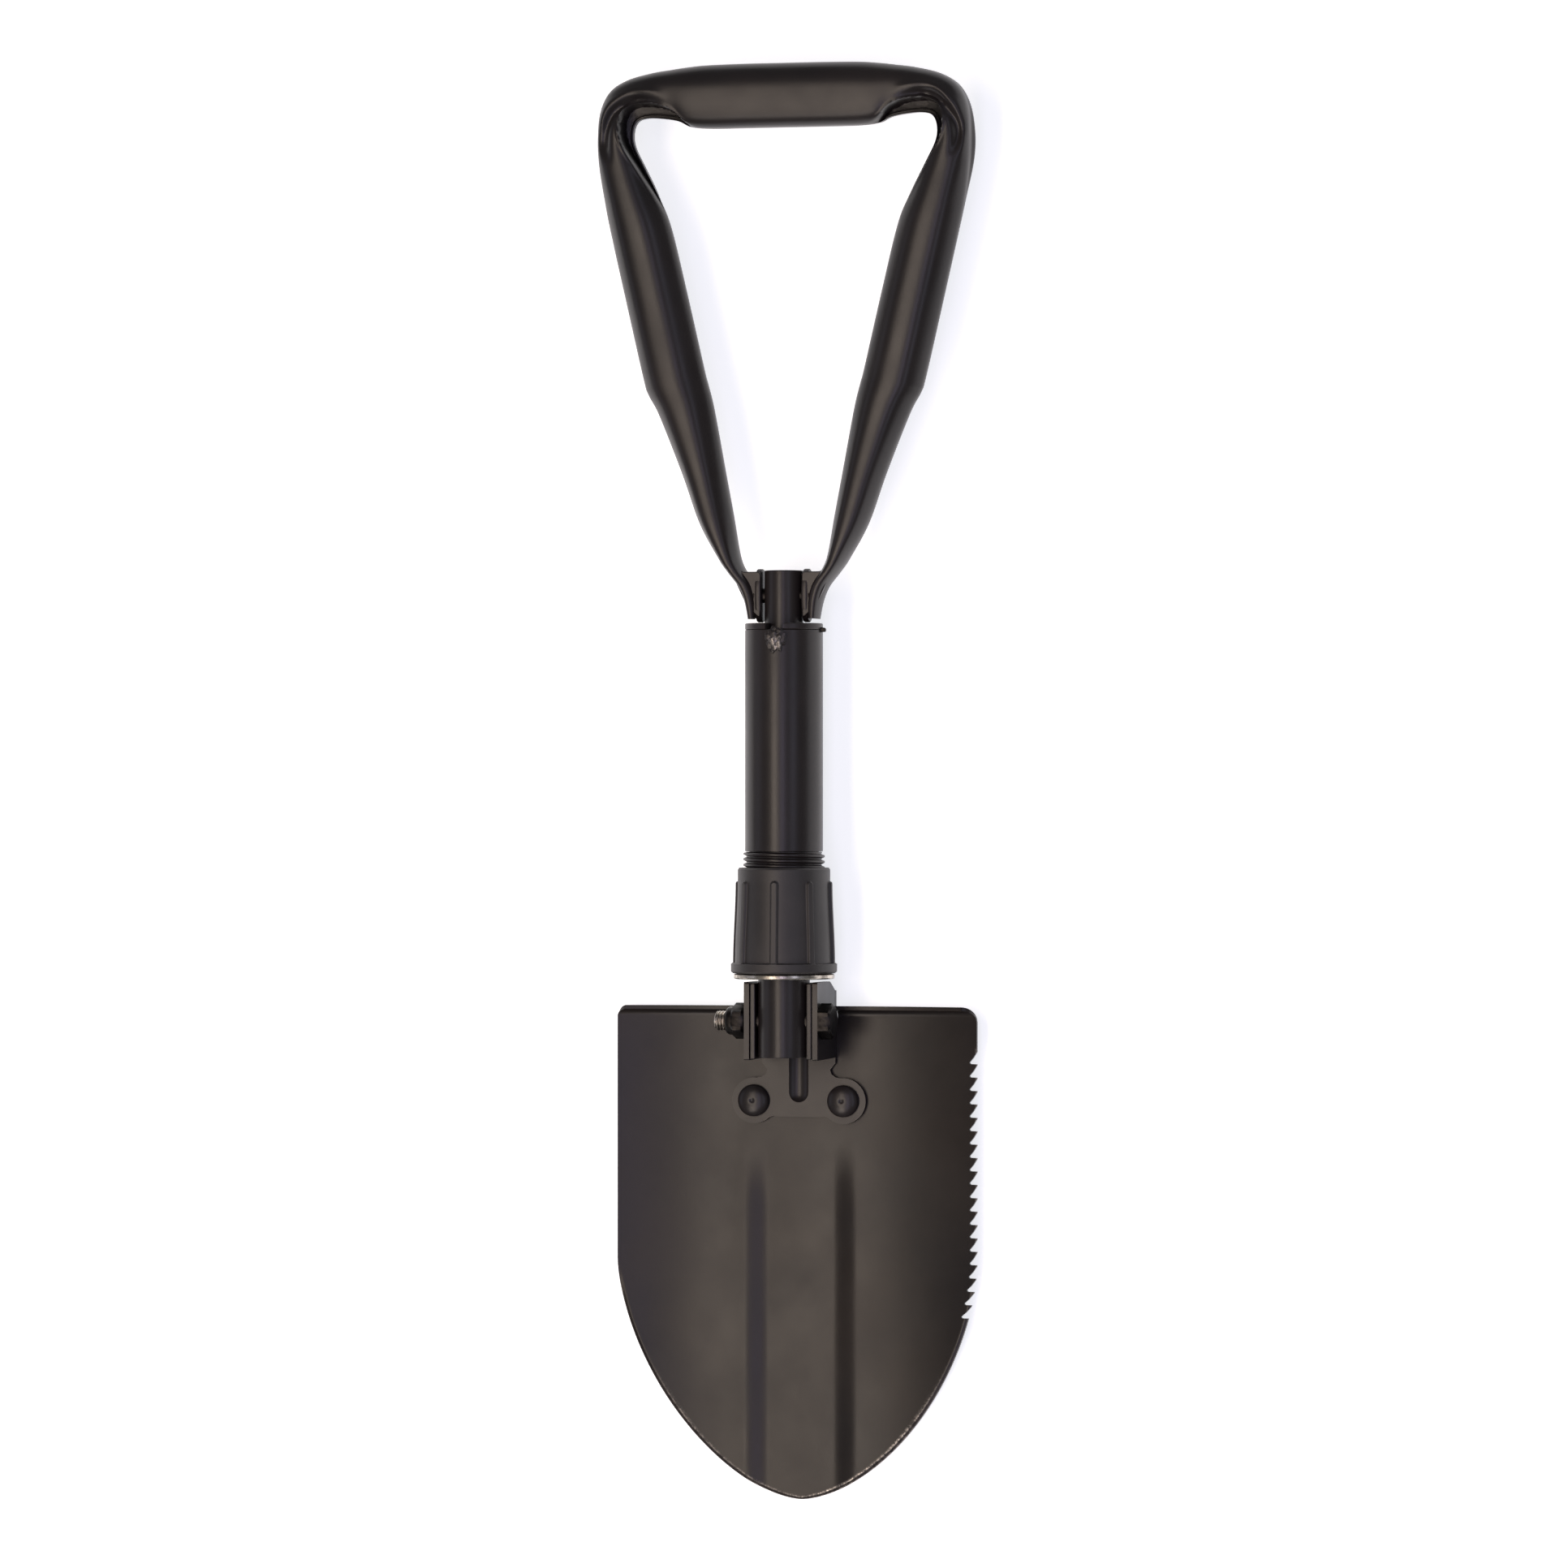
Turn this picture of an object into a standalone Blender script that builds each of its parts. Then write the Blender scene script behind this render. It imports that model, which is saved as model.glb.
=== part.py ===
"""A folding camp shovel, opened out and lying on its back.

+X runs across it, +Y from the blade's tip to the grip, and +Z up, away from the floor.
The origin is on the floor, under the middle of the shovel.
Lengths below are in millimetres. finish() turns each mesh into metres, in its body's own frame.
Heights in the drawing functions are counted from the shovel's long axis.
"""

import math

import bmesh
import bpy
from mathutils import Matrix, Vector

MM = 0.001
GAP = 0.3

# The long axis and the places along it.
AXIS_Z = 29.6
HALF_LENGTH = 293.2
HANDLE_PIVOT_Y = 76.6
TUBE_TOP_Y = 62.6
TUBE_END_Y = -27.4
COLLAR_TOP_Y = -34.0
WASHER_LOW_Y = -79.2
BOLT_Y = -96.4

# Main tube, its threaded end, the stub on top and the shaft below.
TUBE_R = 15.85
TUBE_WALL = 1.5
THREAD_CREST_R = 16.6
THREAD_ROOT_R = 15.4
THREAD_PITCH = 2.3
THREAD_RIDGES = 5
THREAD_END_Y = -62.0
THREAD_FLANK = 0.8
THREAD_CREST_WIDTH = 0.4
PLUG_TOP_Y = -8.0
STUB_R = 7.9
STUB_WALL = 1.9
STUB_TOP_Y = 86.8
STUB_LOW_Y = 40.0
WELD_SIZE = Vector((3.6, 4.2, 1.5))
WELD_CENTRE = Vector((0.6, TUBE_TOP_Y - 4.0, TUBE_R + 0.9))
END_RING_TOP_Y = 65.3
SHAFT_R = 10.5
SHAFT_WALL = 2.0
SHAFT_END_Y = -111.2
SHAFT_TOP_Y = -20.0

# Lock collar and the pressure washer below it.
COLLAR_TOP_R = 18.5
COLLAR_BASE_R = 19.9
COLLAR_FLANGE_R = 21.6
COLLAR_FLANGE_Y = -72.9
COLLAR_END_Y = -76.9
COLLAR_CHAMFER = 0.7
COLLAR_SHOULDER_R = COLLAR_TOP_R + 0.3
COLLAR_BORE_R = THREAD_CREST_R + GAP
RIB_COUNT = 8
RIB_TURN = math.radians(3)
RIB_WIDTH = 2.6
RIB_HEIGHT = 1.1
RIB_ROOT = -1.4
RIB_CREST_SHARE = 0.72
RIB_TOP_Y = -39.6
WASHER_R = 20.6
WASHER_THICKNESS = 2.0

# Blade hinge: bolt, ears and fork.
BOLT_R = 4.0
BOLT_ROOT_R = 3.4
BOLT_END_X = -28.7
BOLT_PITCH = 1.25
ACROSS_FLATS = 13.0
BOLT_HEAD_HEIGHT = 5.3
NUT_HEIGHT = 5.6
NUT_COLLAR_R = 5.7
NUT_END = 8.2
EAR_HALF_HEIGHT = 15.9
EAR_FRONT_Z = 5.5
EAR_INNER_X = 13.3
EAR_THICKNESS = 2.2
FORK_INNER_X = SHAFT_R + GAP
FORK_THICKNESS = 2.1
PLATE_FRONT_Z = -23.2
PLATE_THICKNESS = 2.0
RIVET_X = 18.9
RIVET_Y = -129.7
RIVET_HEAD_R = 6.6
RIVET_SHANK_R = 3.0
LOBE_R = 9.4
GROOVE_R = 3.6

# Blade.
BLADE_TOP_Y = -90.75
BLADE_HALF_WIDTH = 76.0
BLADE_SHEET = 1.6
CORNER_R_LEFT = 4.5
CORNER_R_RIGHT = 6.5
BLADE_FRONT_Z = PLATE_FRONT_Z - PLATE_THICKNESS - GAP
SHOULDER_Y = -194.7
TIP_TAPER = 1.68
TIP_BLUNTNESS = 0.59
LIP_R = 3.0
LIP_HEIGHT = 1.5
NOTCH_HALF_WIDTH = 17.4
NOTCH_FLOOR_Y = -98.0
CHANNEL_INNER_X = 15.2
CHANNEL_OUTER_X = 22.2
CHANNEL_DEPTH = 2.5
CHANNEL_FADE_Y = (-168.0, -142.0)
SIDE_RISE = 0.0024
TOOTH_COUNT = 20
TOOTH_PITCH = 5.45
TOOTH_DEPTH = 3.3
TOOTH_RAMP_SHARE = 0.86
TOOTH_START_Y = -108.6

# Handle: a channel bent into a triangle, and its two lugs on the rivet.
HANDLE_WALL = 1.3
LUG_R = 10.9
LUG_HALF_DEPTH = 7.0
LUG_INNER_X = 8.6
LUG_THICKNESS = 2.4
RIVET_R = 3.0
RIVET_HEAD_RADIUS = 4.8
RIVET_HEAD_HEIGHT = 1.6
# From the lug to the middle of the grip, on the right: inner edge x and y, outer edge x and y, half depth.
HANDLE_STATIONS = [
    (10.2, 67.4, 15.0, 67.0, 5.4),
    (10.4, 75.0, 16.4, 74.2, 6.6),
    (12.2, 81.5, 18.9, 80.2, 7.4),
    (16.6, 87.8, 23.4, 86.0, 8.0),
    (18.8, 94.0, 27.4, 91.6, 8.8),
    (21.1, 108.0, 35.6, 106.0, 9.5),
    (24.6, 127.0, 43.0, 126.0, 9.5),
    (29.3, 152.5, 52.9, 150.0, 9.5),
    (33.5, 169.0, 59.7, 165.0, 9.5),
    (40.7, 199.7, 66.6, 194.5, 9.5),
    (47.2, 226.0, 72.7, 221.0, 9.5),
    (51.9, 238.0, 75.8, 236.0, 9.4),
    (58.6, 251.0, 77.8, 251.0, 9.0),
    (63.1, 260.0, 78.2, 264.0, 8.7),
    (63.9, 266.0, 77.0, 275.0, 8.5),
    (62.1, 270.6, 72.9, 283.0, 8.5),
    (57.6, 272.0, 65.6, 287.6, 8.7),
    (50.7, 271.6, 55.4, 290.2, 9.0),
    (44.5, 270.4, 47.0, 291.4, 9.3),
    (31.7, 267.4, 32.3, 292.9, 9.5),
    (0.0, 267.0, 0.0, 293.2, 9.5),
]

BLACK_PAINT = ("black_paint", (0.030, 0.028, 0.028), 0.42, 0.3)
BLADE_PAINT = ("blade_paint", (0.045, 0.042, 0.042), 0.48, 0.3)
COLLAR_PLASTIC = ("collar_plastic", (0.035, 0.033, 0.034), 0.5, 0.0)
BARE_STEEL = ("bare_steel", (0.55, 0.54, 0.52), 0.3, 1.0)


def material(look):
    """The Blender material of that name, made the first time it is asked for."""
    name, colour, roughness, metallic = look
    found = bpy.data.materials.get(name)
    if found:
        return found
    made = bpy.data.materials.new(name)
    made.use_nodes = True
    shader = made.node_tree.nodes["Principled BSDF"]
    shader.inputs["Base Color"].default_value = (*colour, 1.0)
    shader.inputs["Roughness"].default_value = roughness
    shader.inputs["Metallic"].default_value = metallic
    return made


def body(name, x, y, z):
    """An empty on a joint's axis, which the pieces of one body hang from."""
    empty = bpy.data.objects.new(name, None)
    bpy.context.scene.collection.objects.link(empty)
    empty.location = Vector((x, y, z + AXIS_Z)) * MM
    return empty


def finish(bm, name, look=None, parent=None):
    """Makes the object from a mesh drawn in millimetres about the long axis."""
    bmesh.ops.recalc_face_normals(bm, faces=bm.faces)
    bm.transform(Matrix.Scale(MM, 4) @ Matrix.Translation((0, 0, AXIS_Z)))
    if parent:
        bm.transform(Matrix.Translation(-parent.location))
    mesh = bpy.data.meshes.new(name)
    bm.to_mesh(mesh)
    bm.free()
    mesh.shade_smooth()
    mesh.set_sharp_from_angle(angle=math.radians(35))
    made = bpy.data.objects.new(name, mesh)
    bpy.context.scene.collection.objects.link(made)
    made.parent = parent
    if look:
        mesh.materials.append(material(look))
    else:
        made.hide_render = True
        made.display_type = "WIRE"
    return made


def boolean(target, operand, operation):
    """Adds a Boolean modifier that joins or cuts target with a hidden operand."""
    modifier = target.modifiers.new(operation.lower(), "BOOLEAN")
    modifier.operation = operation
    modifier.object = operand
    modifier.solver = "EXACT"


def lathe(bm, profile, segments=40, along=(0, 1, 0), at=(0, 0, 0)):
    """Turns a closed outline of (radius, distance along the axis) points into a ring or a solid."""
    turn = Vector((0, 0, 1)).rotation_difference(Vector(along)).to_matrix().to_4x4()
    place = Matrix.Translation(at) @ turn
    rings = []
    for radius, distance in profile:
        count = 1 if radius == 0 else segments
        ring = []
        for k in range(count):
            angle = 2 * math.pi * k / segments
            point = Vector((radius * math.cos(angle), radius * math.sin(angle), distance))
            ring.append(bm.verts.new(place @ point))
        rings.append(ring)
    for a, b in zip(rings, rings[1:] + rings[:1]):
        for k in range(segments):
            corners = [a[k % len(a)], a[(k + 1) % len(a)], b[(k + 1) % len(b)], b[k % len(b)]]
            corners = list(dict.fromkeys(corners))
            if len(corners) > 2:
                bm.faces.new(corners)


def tube(outer, inner, low, high):
    """The outline of a plain ring or tube, for lathe()."""
    return [(outer, low), (outer, high), (inner, high), (inner, low)]


def rod(radius, low, high):
    """The outline of a plain solid rod, for lathe()."""
    return [(0, low), (radius, low), (radius, high), (0, high)]


def prism(bm, outline, low, high, axis="z"):
    """Extrudes an outline of (x, y) points along z, or of (y, z) points along x."""
    rings = []
    for level in (low, high):
        points = [(a, b, level) if axis == "z" else (level, a, b) for a, b in outline]
        rings.append([bm.verts.new(p) for p in points])
    loft_faces(bm, rings)


def loft_faces(bm, rings):
    """Joins closed rings of equal length, one after another, and caps both ends."""
    for a, b in zip(rings, rings[1:]):
        count = len(a)
        for k in range(count):
            bm.faces.new((a[k], a[(k + 1) % count], b[(k + 1) % count], b[k]))
    bm.faces.new(rings[0])
    bm.faces.new(rings[-1])


def arc(cx, cy, radius, start, end, steps):
    """Points on a circle from start to end, in degrees."""
    angles = [math.radians(start + (end - start) * k / steps) for k in range(steps + 1)]
    return [(cx + radius * math.cos(a), cy + radius * math.sin(a)) for a in angles]


def smooth_step(value, low, high):
    t = min(max((value - low) / (high - low), 0.0), 1.0)
    return t * t * (3 - 2 * t)


def turned(name, profile, look, parent, segments=40, along=(0, 1, 0), at=(0, 0, 0)):
    """One turned piece as an object."""
    bm = bmesh.new()
    lathe(bm, profile, segments, along, at)
    return finish(bm, name, look, parent)


# ---- main tube body -------------------------------------------------------------------------


def threaded_outline():
    """The threaded plug: a spigot inside the tube, then the ridges that the collar leaves in view."""
    bore = SHAFT_R + GAP
    spigot = TUBE_R - TUBE_WALL - GAP
    points = [(bore, PLUG_TOP_Y), (spigot, PLUG_TOP_Y), (spigot, TUBE_END_Y - GAP)]
    for k in range(THREAD_RIDGES):
        top = TUBE_END_Y - GAP - k * THREAD_PITCH
        crest = top - THREAD_FLANK
        points += [(THREAD_ROOT_R, top), (THREAD_CREST_R, crest)]
        points += [(THREAD_CREST_R, crest - THREAD_CREST_WIDTH)]
    ridge_end = crest - THREAD_CREST_WIDTH - THREAD_FLANK
    points += [(THREAD_ROOT_R, ridge_end), (THREAD_ROOT_R, THREAD_END_Y), (bore, THREAD_END_Y)]
    return points


def make_stub_hole():
    bm = bmesh.new()
    lathe(bm, rod(RIVET_R + GAP, -40, 40), 24, (1, 0, 0), (0, HANDLE_PIVOT_Y, 0))
    return finish(bm, "cutter_stub_hole")


def make_weld(parent):
    """A lumpy weld bead where the stub meets the tube's end, at the front."""
    bm = bmesh.new()
    bmesh.ops.create_uvsphere(bm, u_segments=14, v_segments=8, radius=1.0)
    for v in bm.verts:
        lump = 1 + 0.10 * math.sin(5 * v.co.x + 1.3) * math.sin(6 * v.co.y)
        v.co = v.co * WELD_SIZE * lump + WELD_CENTRE
    bead = finish(bm, "weld_bead", BLACK_PAINT, parent)
    bm = bmesh.new()
    lathe(bm, rod(TUBE_R + GAP, TUBE_TOP_Y - 14, END_RING_TOP_Y + 6))
    boolean(bead, finish(bm, "cutter_weld", None), "DIFFERENCE")


def make_tube_body(parent):
    tube_outline = tube(TUBE_R, TUBE_R - TUBE_WALL, TUBE_END_Y, TUBE_TOP_Y)
    turned("main_tube", tube_outline, BLACK_PAINT, parent, 48)
    ring_outline = tube(TUBE_R, STUB_R + GAP, TUBE_TOP_Y + GAP, END_RING_TOP_Y)
    turned("end_ring", ring_outline, BLACK_PAINT, parent, 48)
    stub_outline = tube(STUB_R, STUB_R - STUB_WALL, STUB_LOW_Y, STUB_TOP_Y)
    stub = turned("stub_tube", stub_outline, BLACK_PAINT, parent, 32)
    boolean(stub, make_stub_hole(), "DIFFERENCE")
    make_rivet("handle_pivot_rivet", parent)
    turned("threaded_plug", threaded_outline(), BLACK_PAINT, parent, 36)
    make_weld(parent)
    make_shaft(parent)
    make_fork(parent)


def make_rivet(name, parent):
    """The handle's pivot: a rivet along X whose heads lie inside the handle's two arms."""
    seat = LUG_INNER_X + LUG_THICKNESS + GAP
    head = seat + RIVET_HEAD_HEIGHT
    outline = [(0, -head), (3.4, -head), (RIVET_HEAD_RADIUS, -seat - 0.5)]
    outline += [(RIVET_HEAD_RADIUS, -seat), (RIVET_R, -seat)]
    outline += [(r, -d) for r, d in reversed(outline)]
    turned(name, outline, BARE_STEEL, parent, 24, (1, 0, 0), (0, HANDLE_PIVOT_Y, 0))


def make_bolt_hole():
    bm = bmesh.new()
    lathe(bm, rod(BOLT_R + GAP, -40, 40), 24, (1, 0, 0), (0, BOLT_Y, 0))
    return finish(bm, "cutter_bolt_hole")


def make_shaft(parent):
    outline = tube(SHAFT_R, SHAFT_R - SHAFT_WALL, SHAFT_END_Y, SHAFT_TOP_Y)
    shaft = turned("lower_shaft", outline, BLACK_PAINT, parent, 32)
    boolean(shaft, bpy.data.objects["cutter_bolt_hole"], "DIFFERENCE")


def make_fork(parent):
    """A U-shaped bracket round the shaft's end: two cheeks, and a web behind the shaft."""
    bm = bmesh.new()
    x0 = FORK_INNER_X
    x1 = x0 + FORK_THICKNESS
    z0 = -SHAFT_R - GAP - FORK_THICKNESS
    outer = [(-x1, EAR_FRONT_Z), (-x1, z0 + 2), (-x1 + 2, z0), (x1 - 2, z0), (x1, z0 + 2)]
    outer += [(x1, EAR_FRONT_Z)]
    inner = [(x0, EAR_FRONT_Z), (x0, z0 + FORK_THICKNESS), (-x0, z0 + FORK_THICKNESS)]
    inner += [(-x0, EAR_FRONT_Z)]
    rings = []
    for y in (BOLT_Y - EAR_HALF_HEIGHT + 0.5, BOLT_Y + EAR_HALF_HEIGHT - 0.5):
        rings.append([bm.verts.new((x, y, z)) for x, z in outer + inner])
    loft_faces(bm, rings)
    fork = finish(bm, "hinge_fork", BLACK_PAINT, parent)
    boolean(fork, bpy.data.objects["cutter_bolt_hole"], "DIFFERENCE")


# ---- lock collar ------------------------------------------------------------------------------


def collar_outline():
    inner_end_y = COLLAR_FLANGE_Y - 0.6
    shaft_clear = SHAFT_R + 0.7
    return [
        (COLLAR_BORE_R, COLLAR_TOP_Y),
        (COLLAR_TOP_R - COLLAR_CHAMFER, COLLAR_TOP_Y),
        (COLLAR_TOP_R, COLLAR_TOP_Y - COLLAR_CHAMFER),
        (COLLAR_SHOULDER_R, RIB_TOP_Y),
        (COLLAR_BASE_R, COLLAR_FLANGE_Y + 0.4),
        (COLLAR_FLANGE_R - 0.4, COLLAR_FLANGE_Y),
        (COLLAR_FLANGE_R, COLLAR_FLANGE_Y - 0.4),
        (COLLAR_FLANGE_R, COLLAR_END_Y + 0.9),
        (COLLAR_FLANGE_R - 0.9, COLLAR_END_Y),
        (shaft_clear, COLLAR_END_Y),
        (shaft_clear, inner_end_y),
        (COLLAR_BORE_R, inner_end_y),
    ]


def make_ribs():
    """The collar's ribs, as one hidden mesh to join to it: long bars with a round top end."""
    bm = bmesh.new()
    half = RIB_WIDTH / 2
    end_y = COLLAR_FLANGE_Y - 0.5
    outline = [(-half, end_y), (half, end_y)]
    outline += arc(0, RIB_TOP_Y - half, half, 0, 180, 6)
    for k in range(RIB_COUNT):
        turn = Matrix.Rotation(RIB_TURN + 2 * math.pi * k / RIB_COUNT, 4, "Y")
        rings = []
        for lift, narrow in ((RIB_ROOT, 1.0), (RIB_HEIGHT, RIB_CREST_SHARE)):
            ring = []
            for x, y in outline:
                share = (RIB_TOP_Y - y) / (RIB_TOP_Y - COLLAR_FLANGE_Y)
                wall = COLLAR_SHOULDER_R + share * (COLLAR_BASE_R - COLLAR_SHOULDER_R)
                ring.append(bm.verts.new(turn @ Vector((x * narrow, y, wall + lift))))
            rings.append(ring)
        loft_faces(bm, rings)
    return finish(bm, "operand_ribs")


def make_collar(lift_body, collar_body):
    washer_outline = tube(WASHER_R, SHAFT_R + 0.4, WASHER_LOW_Y, WASHER_LOW_Y + WASHER_THICKNESS)
    turned("pressure_washer", washer_outline, BARE_STEEL, lift_body, 48)
    collar = turned("lock_collar", collar_outline(), COLLAR_PLASTIC, collar_body, 48)
    boolean(collar, make_ribs(), "UNION")


# ---- blade body -------------------------------------------------------------------------------


def blade_half_width(y):
    """Half the blade's width at y: straight sides down to the shoulder, then a pointed round."""
    if y >= SHOULDER_Y:
        return BLADE_HALF_WIDTH
    share = (SHOULDER_Y - y) / (SHOULDER_Y + HALF_LENGTH)
    return BLADE_HALF_WIDTH * (1 - min(share, 0.9996) ** TIP_TAPER) ** TIP_BLUNTNESS


def corner_loss(y, radius):
    """How much a round top corner takes off the half width."""
    depth = y - (BLADE_TOP_Y - radius)
    if depth <= 0:
        return 0.0
    return radius - math.sqrt(max(radius * radius - depth * depth, 0.0))


def blade_height(x, y):
    """The height of the blade's front face: sides that rise, and a sunk channel down the middle."""
    side = SIDE_RISE * max(abs(x) - CHANNEL_OUTER_X, 0.0) ** 2
    across = 1 - smooth_step(abs(x), CHANNEL_INNER_X, CHANNEL_OUTER_X)
    along = 1 - smooth_step(y, *CHANNEL_FADE_Y)
    return BLADE_FRONT_Z + side - CHANNEL_DEPTH * across * along


def blade_columns(left, right):
    """Places across the blade: close together over the channel's walls, then out to each edge."""
    slope = CHANNEL_OUTER_X - CHANNEL_INNER_X
    walls = [CHANNEL_INNER_X / 2] + [CHANNEL_INNER_X + slope * k / 4 for k in range(5)]
    outward = [0.2, 0.4, 0.6, 0.8, 1.0]
    columns = [0.0]
    for sign, edge in ((-1, left), (1, right)):
        scale = min(1.0, edge / (CHANNEL_OUTER_X + 8))
        side = [w * scale for w in walls]
        side += [side[-1] + (edge - side[-1]) * share for share in outward]
        columns += [sign * s for s in side]
    return sorted(columns)


def blade_rows():
    """Places along the blade as (y, lift, tilt): the sheet, then the lip that turns up."""
    rows = []
    for k in range(16):
        share = math.sin(math.pi / 2 * (1 - k / 16))
        rows.append((SHOULDER_Y - share * (SHOULDER_Y + HALF_LENGTH), 0.0, 0.0))
    sheet_end = BLADE_TOP_Y - LIP_R - BLADE_SHEET
    for k in range(11):
        rows.append((SHOULDER_Y + (sheet_end - SHOULDER_Y) * k / 10, 0.0, 0.0))
    for k in range(1, 6):
        tilt = math.radians(17 * k)
        y = sheet_end + LIP_R * math.sin(tilt)
        rows.append((y, LIP_R * (1 - math.cos(tilt)), tilt))
    rows.append((y, rows[-1][1] + LIP_HEIGHT, tilt))
    return rows


def make_blade(parent):
    bm = bmesh.new()
    front, back = [], []
    for y, lift, tilt in blade_rows():
        reach = y + BLADE_SHEET * math.sin(tilt)
        half = blade_half_width(y)
        left = half - corner_loss(reach, CORNER_R_LEFT)
        columns = blade_columns(left, half - corner_loss(reach, CORNER_R_RIGHT))
        faces = []
        for x in columns:
            point = Vector((x, y, blade_height(x, y) + lift))
            normal = Vector((0, -math.sin(tilt), math.cos(tilt)))
            faces.append((bm.verts.new(point), bm.verts.new(point - normal * BLADE_SHEET)))
        front.append([f for f, b in faces])
        back.append([b for f, b in faces])
    for grid in (front, back):
        for a, b in zip(grid, grid[1:]):
            for k in range(len(a) - 1):
                bm.faces.new((a[k], a[k + 1], b[k + 1], b[k]))
    for a, b in ((front[0], back[0]), (front[-1], back[-1])):
        for k in range(len(a) - 1):
            bm.faces.new((a[k], a[k + 1], b[k + 1], b[k]))
    for side in (0, -1):
        for k in range(len(front) - 1):
            corners = (front[k][side], front[k + 1][side], back[k + 1][side], back[k][side])
            bm.faces.new(corners)
    blade = finish(bm, "blade", BLADE_PAINT, parent)
    boolean(blade, make_blade_cutter(), "DIFFERENCE")


def make_blade_cutter():
    """The saw teeth's gullets on the right edge, and the notch in the top edge for the hinge."""
    bm = bmesh.new()
    reach = 4.0
    for k in range(TOOTH_COUNT):
        top = TOOTH_START_Y - k * TOOTH_PITCH
        foot = top - TOOTH_RAMP_SHARE * TOOTH_PITCH
        edge = blade_half_width(top)
        inner = blade_half_width(foot) - TOOTH_DEPTH
        slope = (top - foot) / (edge - inner)
        outline = [
            (inner, foot),
            (edge + reach, top + slope * reach),
            (edge + reach, foot - 0.75),
            (inner + 0.5, foot - 0.6),
        ]
        prism(bm, outline, -60, 10)
    half = NOTCH_HALF_WIDTH
    outline = [(-half, -60), (half, -60)] + arc(half - 2, NOTCH_FLOOR_Y + 2, 2, 0, -90, 4)
    outline += arc(2 - half, NOTCH_FLOOR_Y + 2, 2, -90, -180, 4)
    prism(bm, outline, -60, 10)
    return finish(bm, "cutter_blade")


def base_plate_outline():
    """The riveted plate, in (x, y): a neck, two round lobes and a straight lower edge."""
    top = BOLT_Y + 12.0
    neck = EAR_INNER_X + EAR_THICKNESS
    low = RIVET_Y - LOBE_R + 3.4
    right = [(neck, top), (neck, RIVET_Y + 15.4), (neck - 2.2, RIVET_Y + 12.5)]
    right += [(neck - 1.8, RIVET_Y + 10.2)]
    right += arc(RIVET_X, RIVET_Y, LOBE_R, 98, -132, 16)
    right += [(RIVET_X - 8.6, low)]
    return right + [(-x, y) for x, y in reversed(right)]


def make_bracket(parent):
    """The hinge bracket: the riveted plate and two ears that stand up from it."""
    bm = bmesh.new()
    prism(bm, base_plate_outline(), PLATE_FRONT_Z - PLATE_THICKNESS, PLATE_FRONT_Z)
    bracket = finish(bm, "hinge_bracket", BLACK_PAINT, parent)
    bm = bmesh.new()
    top = BOLT_Y + EAR_HALF_HEIGHT
    low = BOLT_Y - EAR_HALF_HEIGHT
    outline = [
        (low, EAR_FRONT_Z - 0.6),
        (low + 0.6, EAR_FRONT_Z),
        (top - 0.6, EAR_FRONT_Z),
        (top, EAR_FRONT_Z - 0.6),
        (top, -14.0),
        (BOLT_Y + 11.6, PLATE_FRONT_Z - 1.2),
        (low + 0.4, PLATE_FRONT_Z - 1.2),
        (low, PLATE_FRONT_Z),
    ]
    for sign in (-1, 1):
        sides = sorted((sign * EAR_INNER_X, sign * (EAR_INNER_X + EAR_THICKNESS - 0.05)))
        prism(bm, outline, *sides, axis="x")
    boolean(bracket, finish(bm, "operand_ears"), "UNION")
    bm = bmesh.new()
    groove = [(x, y) for y, x in arc(0, 0, GROOVE_R, 180, 90, 6)] + [(GROOVE_R, 26.0), (0, 26.0)]
    groove[0] = (0, -GROOVE_R)
    lathe(bm, groove, 20, (0, 1, 0), (0, RIVET_Y + 2.0, PLATE_FRONT_Z + 2.3))
    for sign in (-1, 1):
        place = (sign * RIVET_X, RIVET_Y, PLATE_FRONT_Z)
        lathe(bm, rod(RIVET_SHANK_R + GAP, -4.5, 4.5), 20, (0, 0, 1), place)
    boolean(bracket, finish(bm, "cutter_bracket"), "DIFFERENCE")
    boolean(bracket, bpy.data.objects["cutter_bolt_hole"], "DIFFERENCE")


def make_rivets(parent):
    """Two dome-headed rivets: the dome in front of the plate, and a low head behind the blade."""
    for name, sign in (("rivet_left", -1), ("rivet_right", 1)):
        dome = [(RIVET_HEAD_R, 0.25), (RIVET_HEAD_R - 0.1, 1.0), (5.9, 2.1), (4.6, 3.1)]
        dome += [(2.6, 3.8), (1.2, 3.95), (0, 3.7)]
        back = -PLATE_THICKNESS - GAP - BLADE_SHEET - GAP
        outline = [(0, back - 1.3), (4.0, back - 1.3), (5.0, back - 0.3), (5.0, back)]
        outline += [(RIVET_SHANK_R, back), (RIVET_SHANK_R, 0.25)]
        outline += dome
        place = (sign * RIVET_X, RIVET_Y, PLATE_FRONT_Z)
        turned(name, outline, BLACK_PAINT, parent, 28, (0, 0, 1), place)


def make_rivet_holes():
    """Holes through the blade for the two rivets."""
    bm = bmesh.new()
    for sign in (-1, 1):
        place = (sign * RIVET_X, RIVET_Y, BLADE_FRONT_Z)
        lathe(bm, rod(RIVET_SHANK_R + GAP, -6.0, 1.5), 20, (0, 0, 1), place)
    boolean(bpy.data.objects["blade"], finish(bm, "cutter_rivet_holes"), "DIFFERENCE")


def hexagon(across_flats):
    radius = across_flats / math.sqrt(3)
    return [(BOLT_Y + y, z) for y, z in arc(0, 0, radius, 0, 300, 5)]


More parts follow.
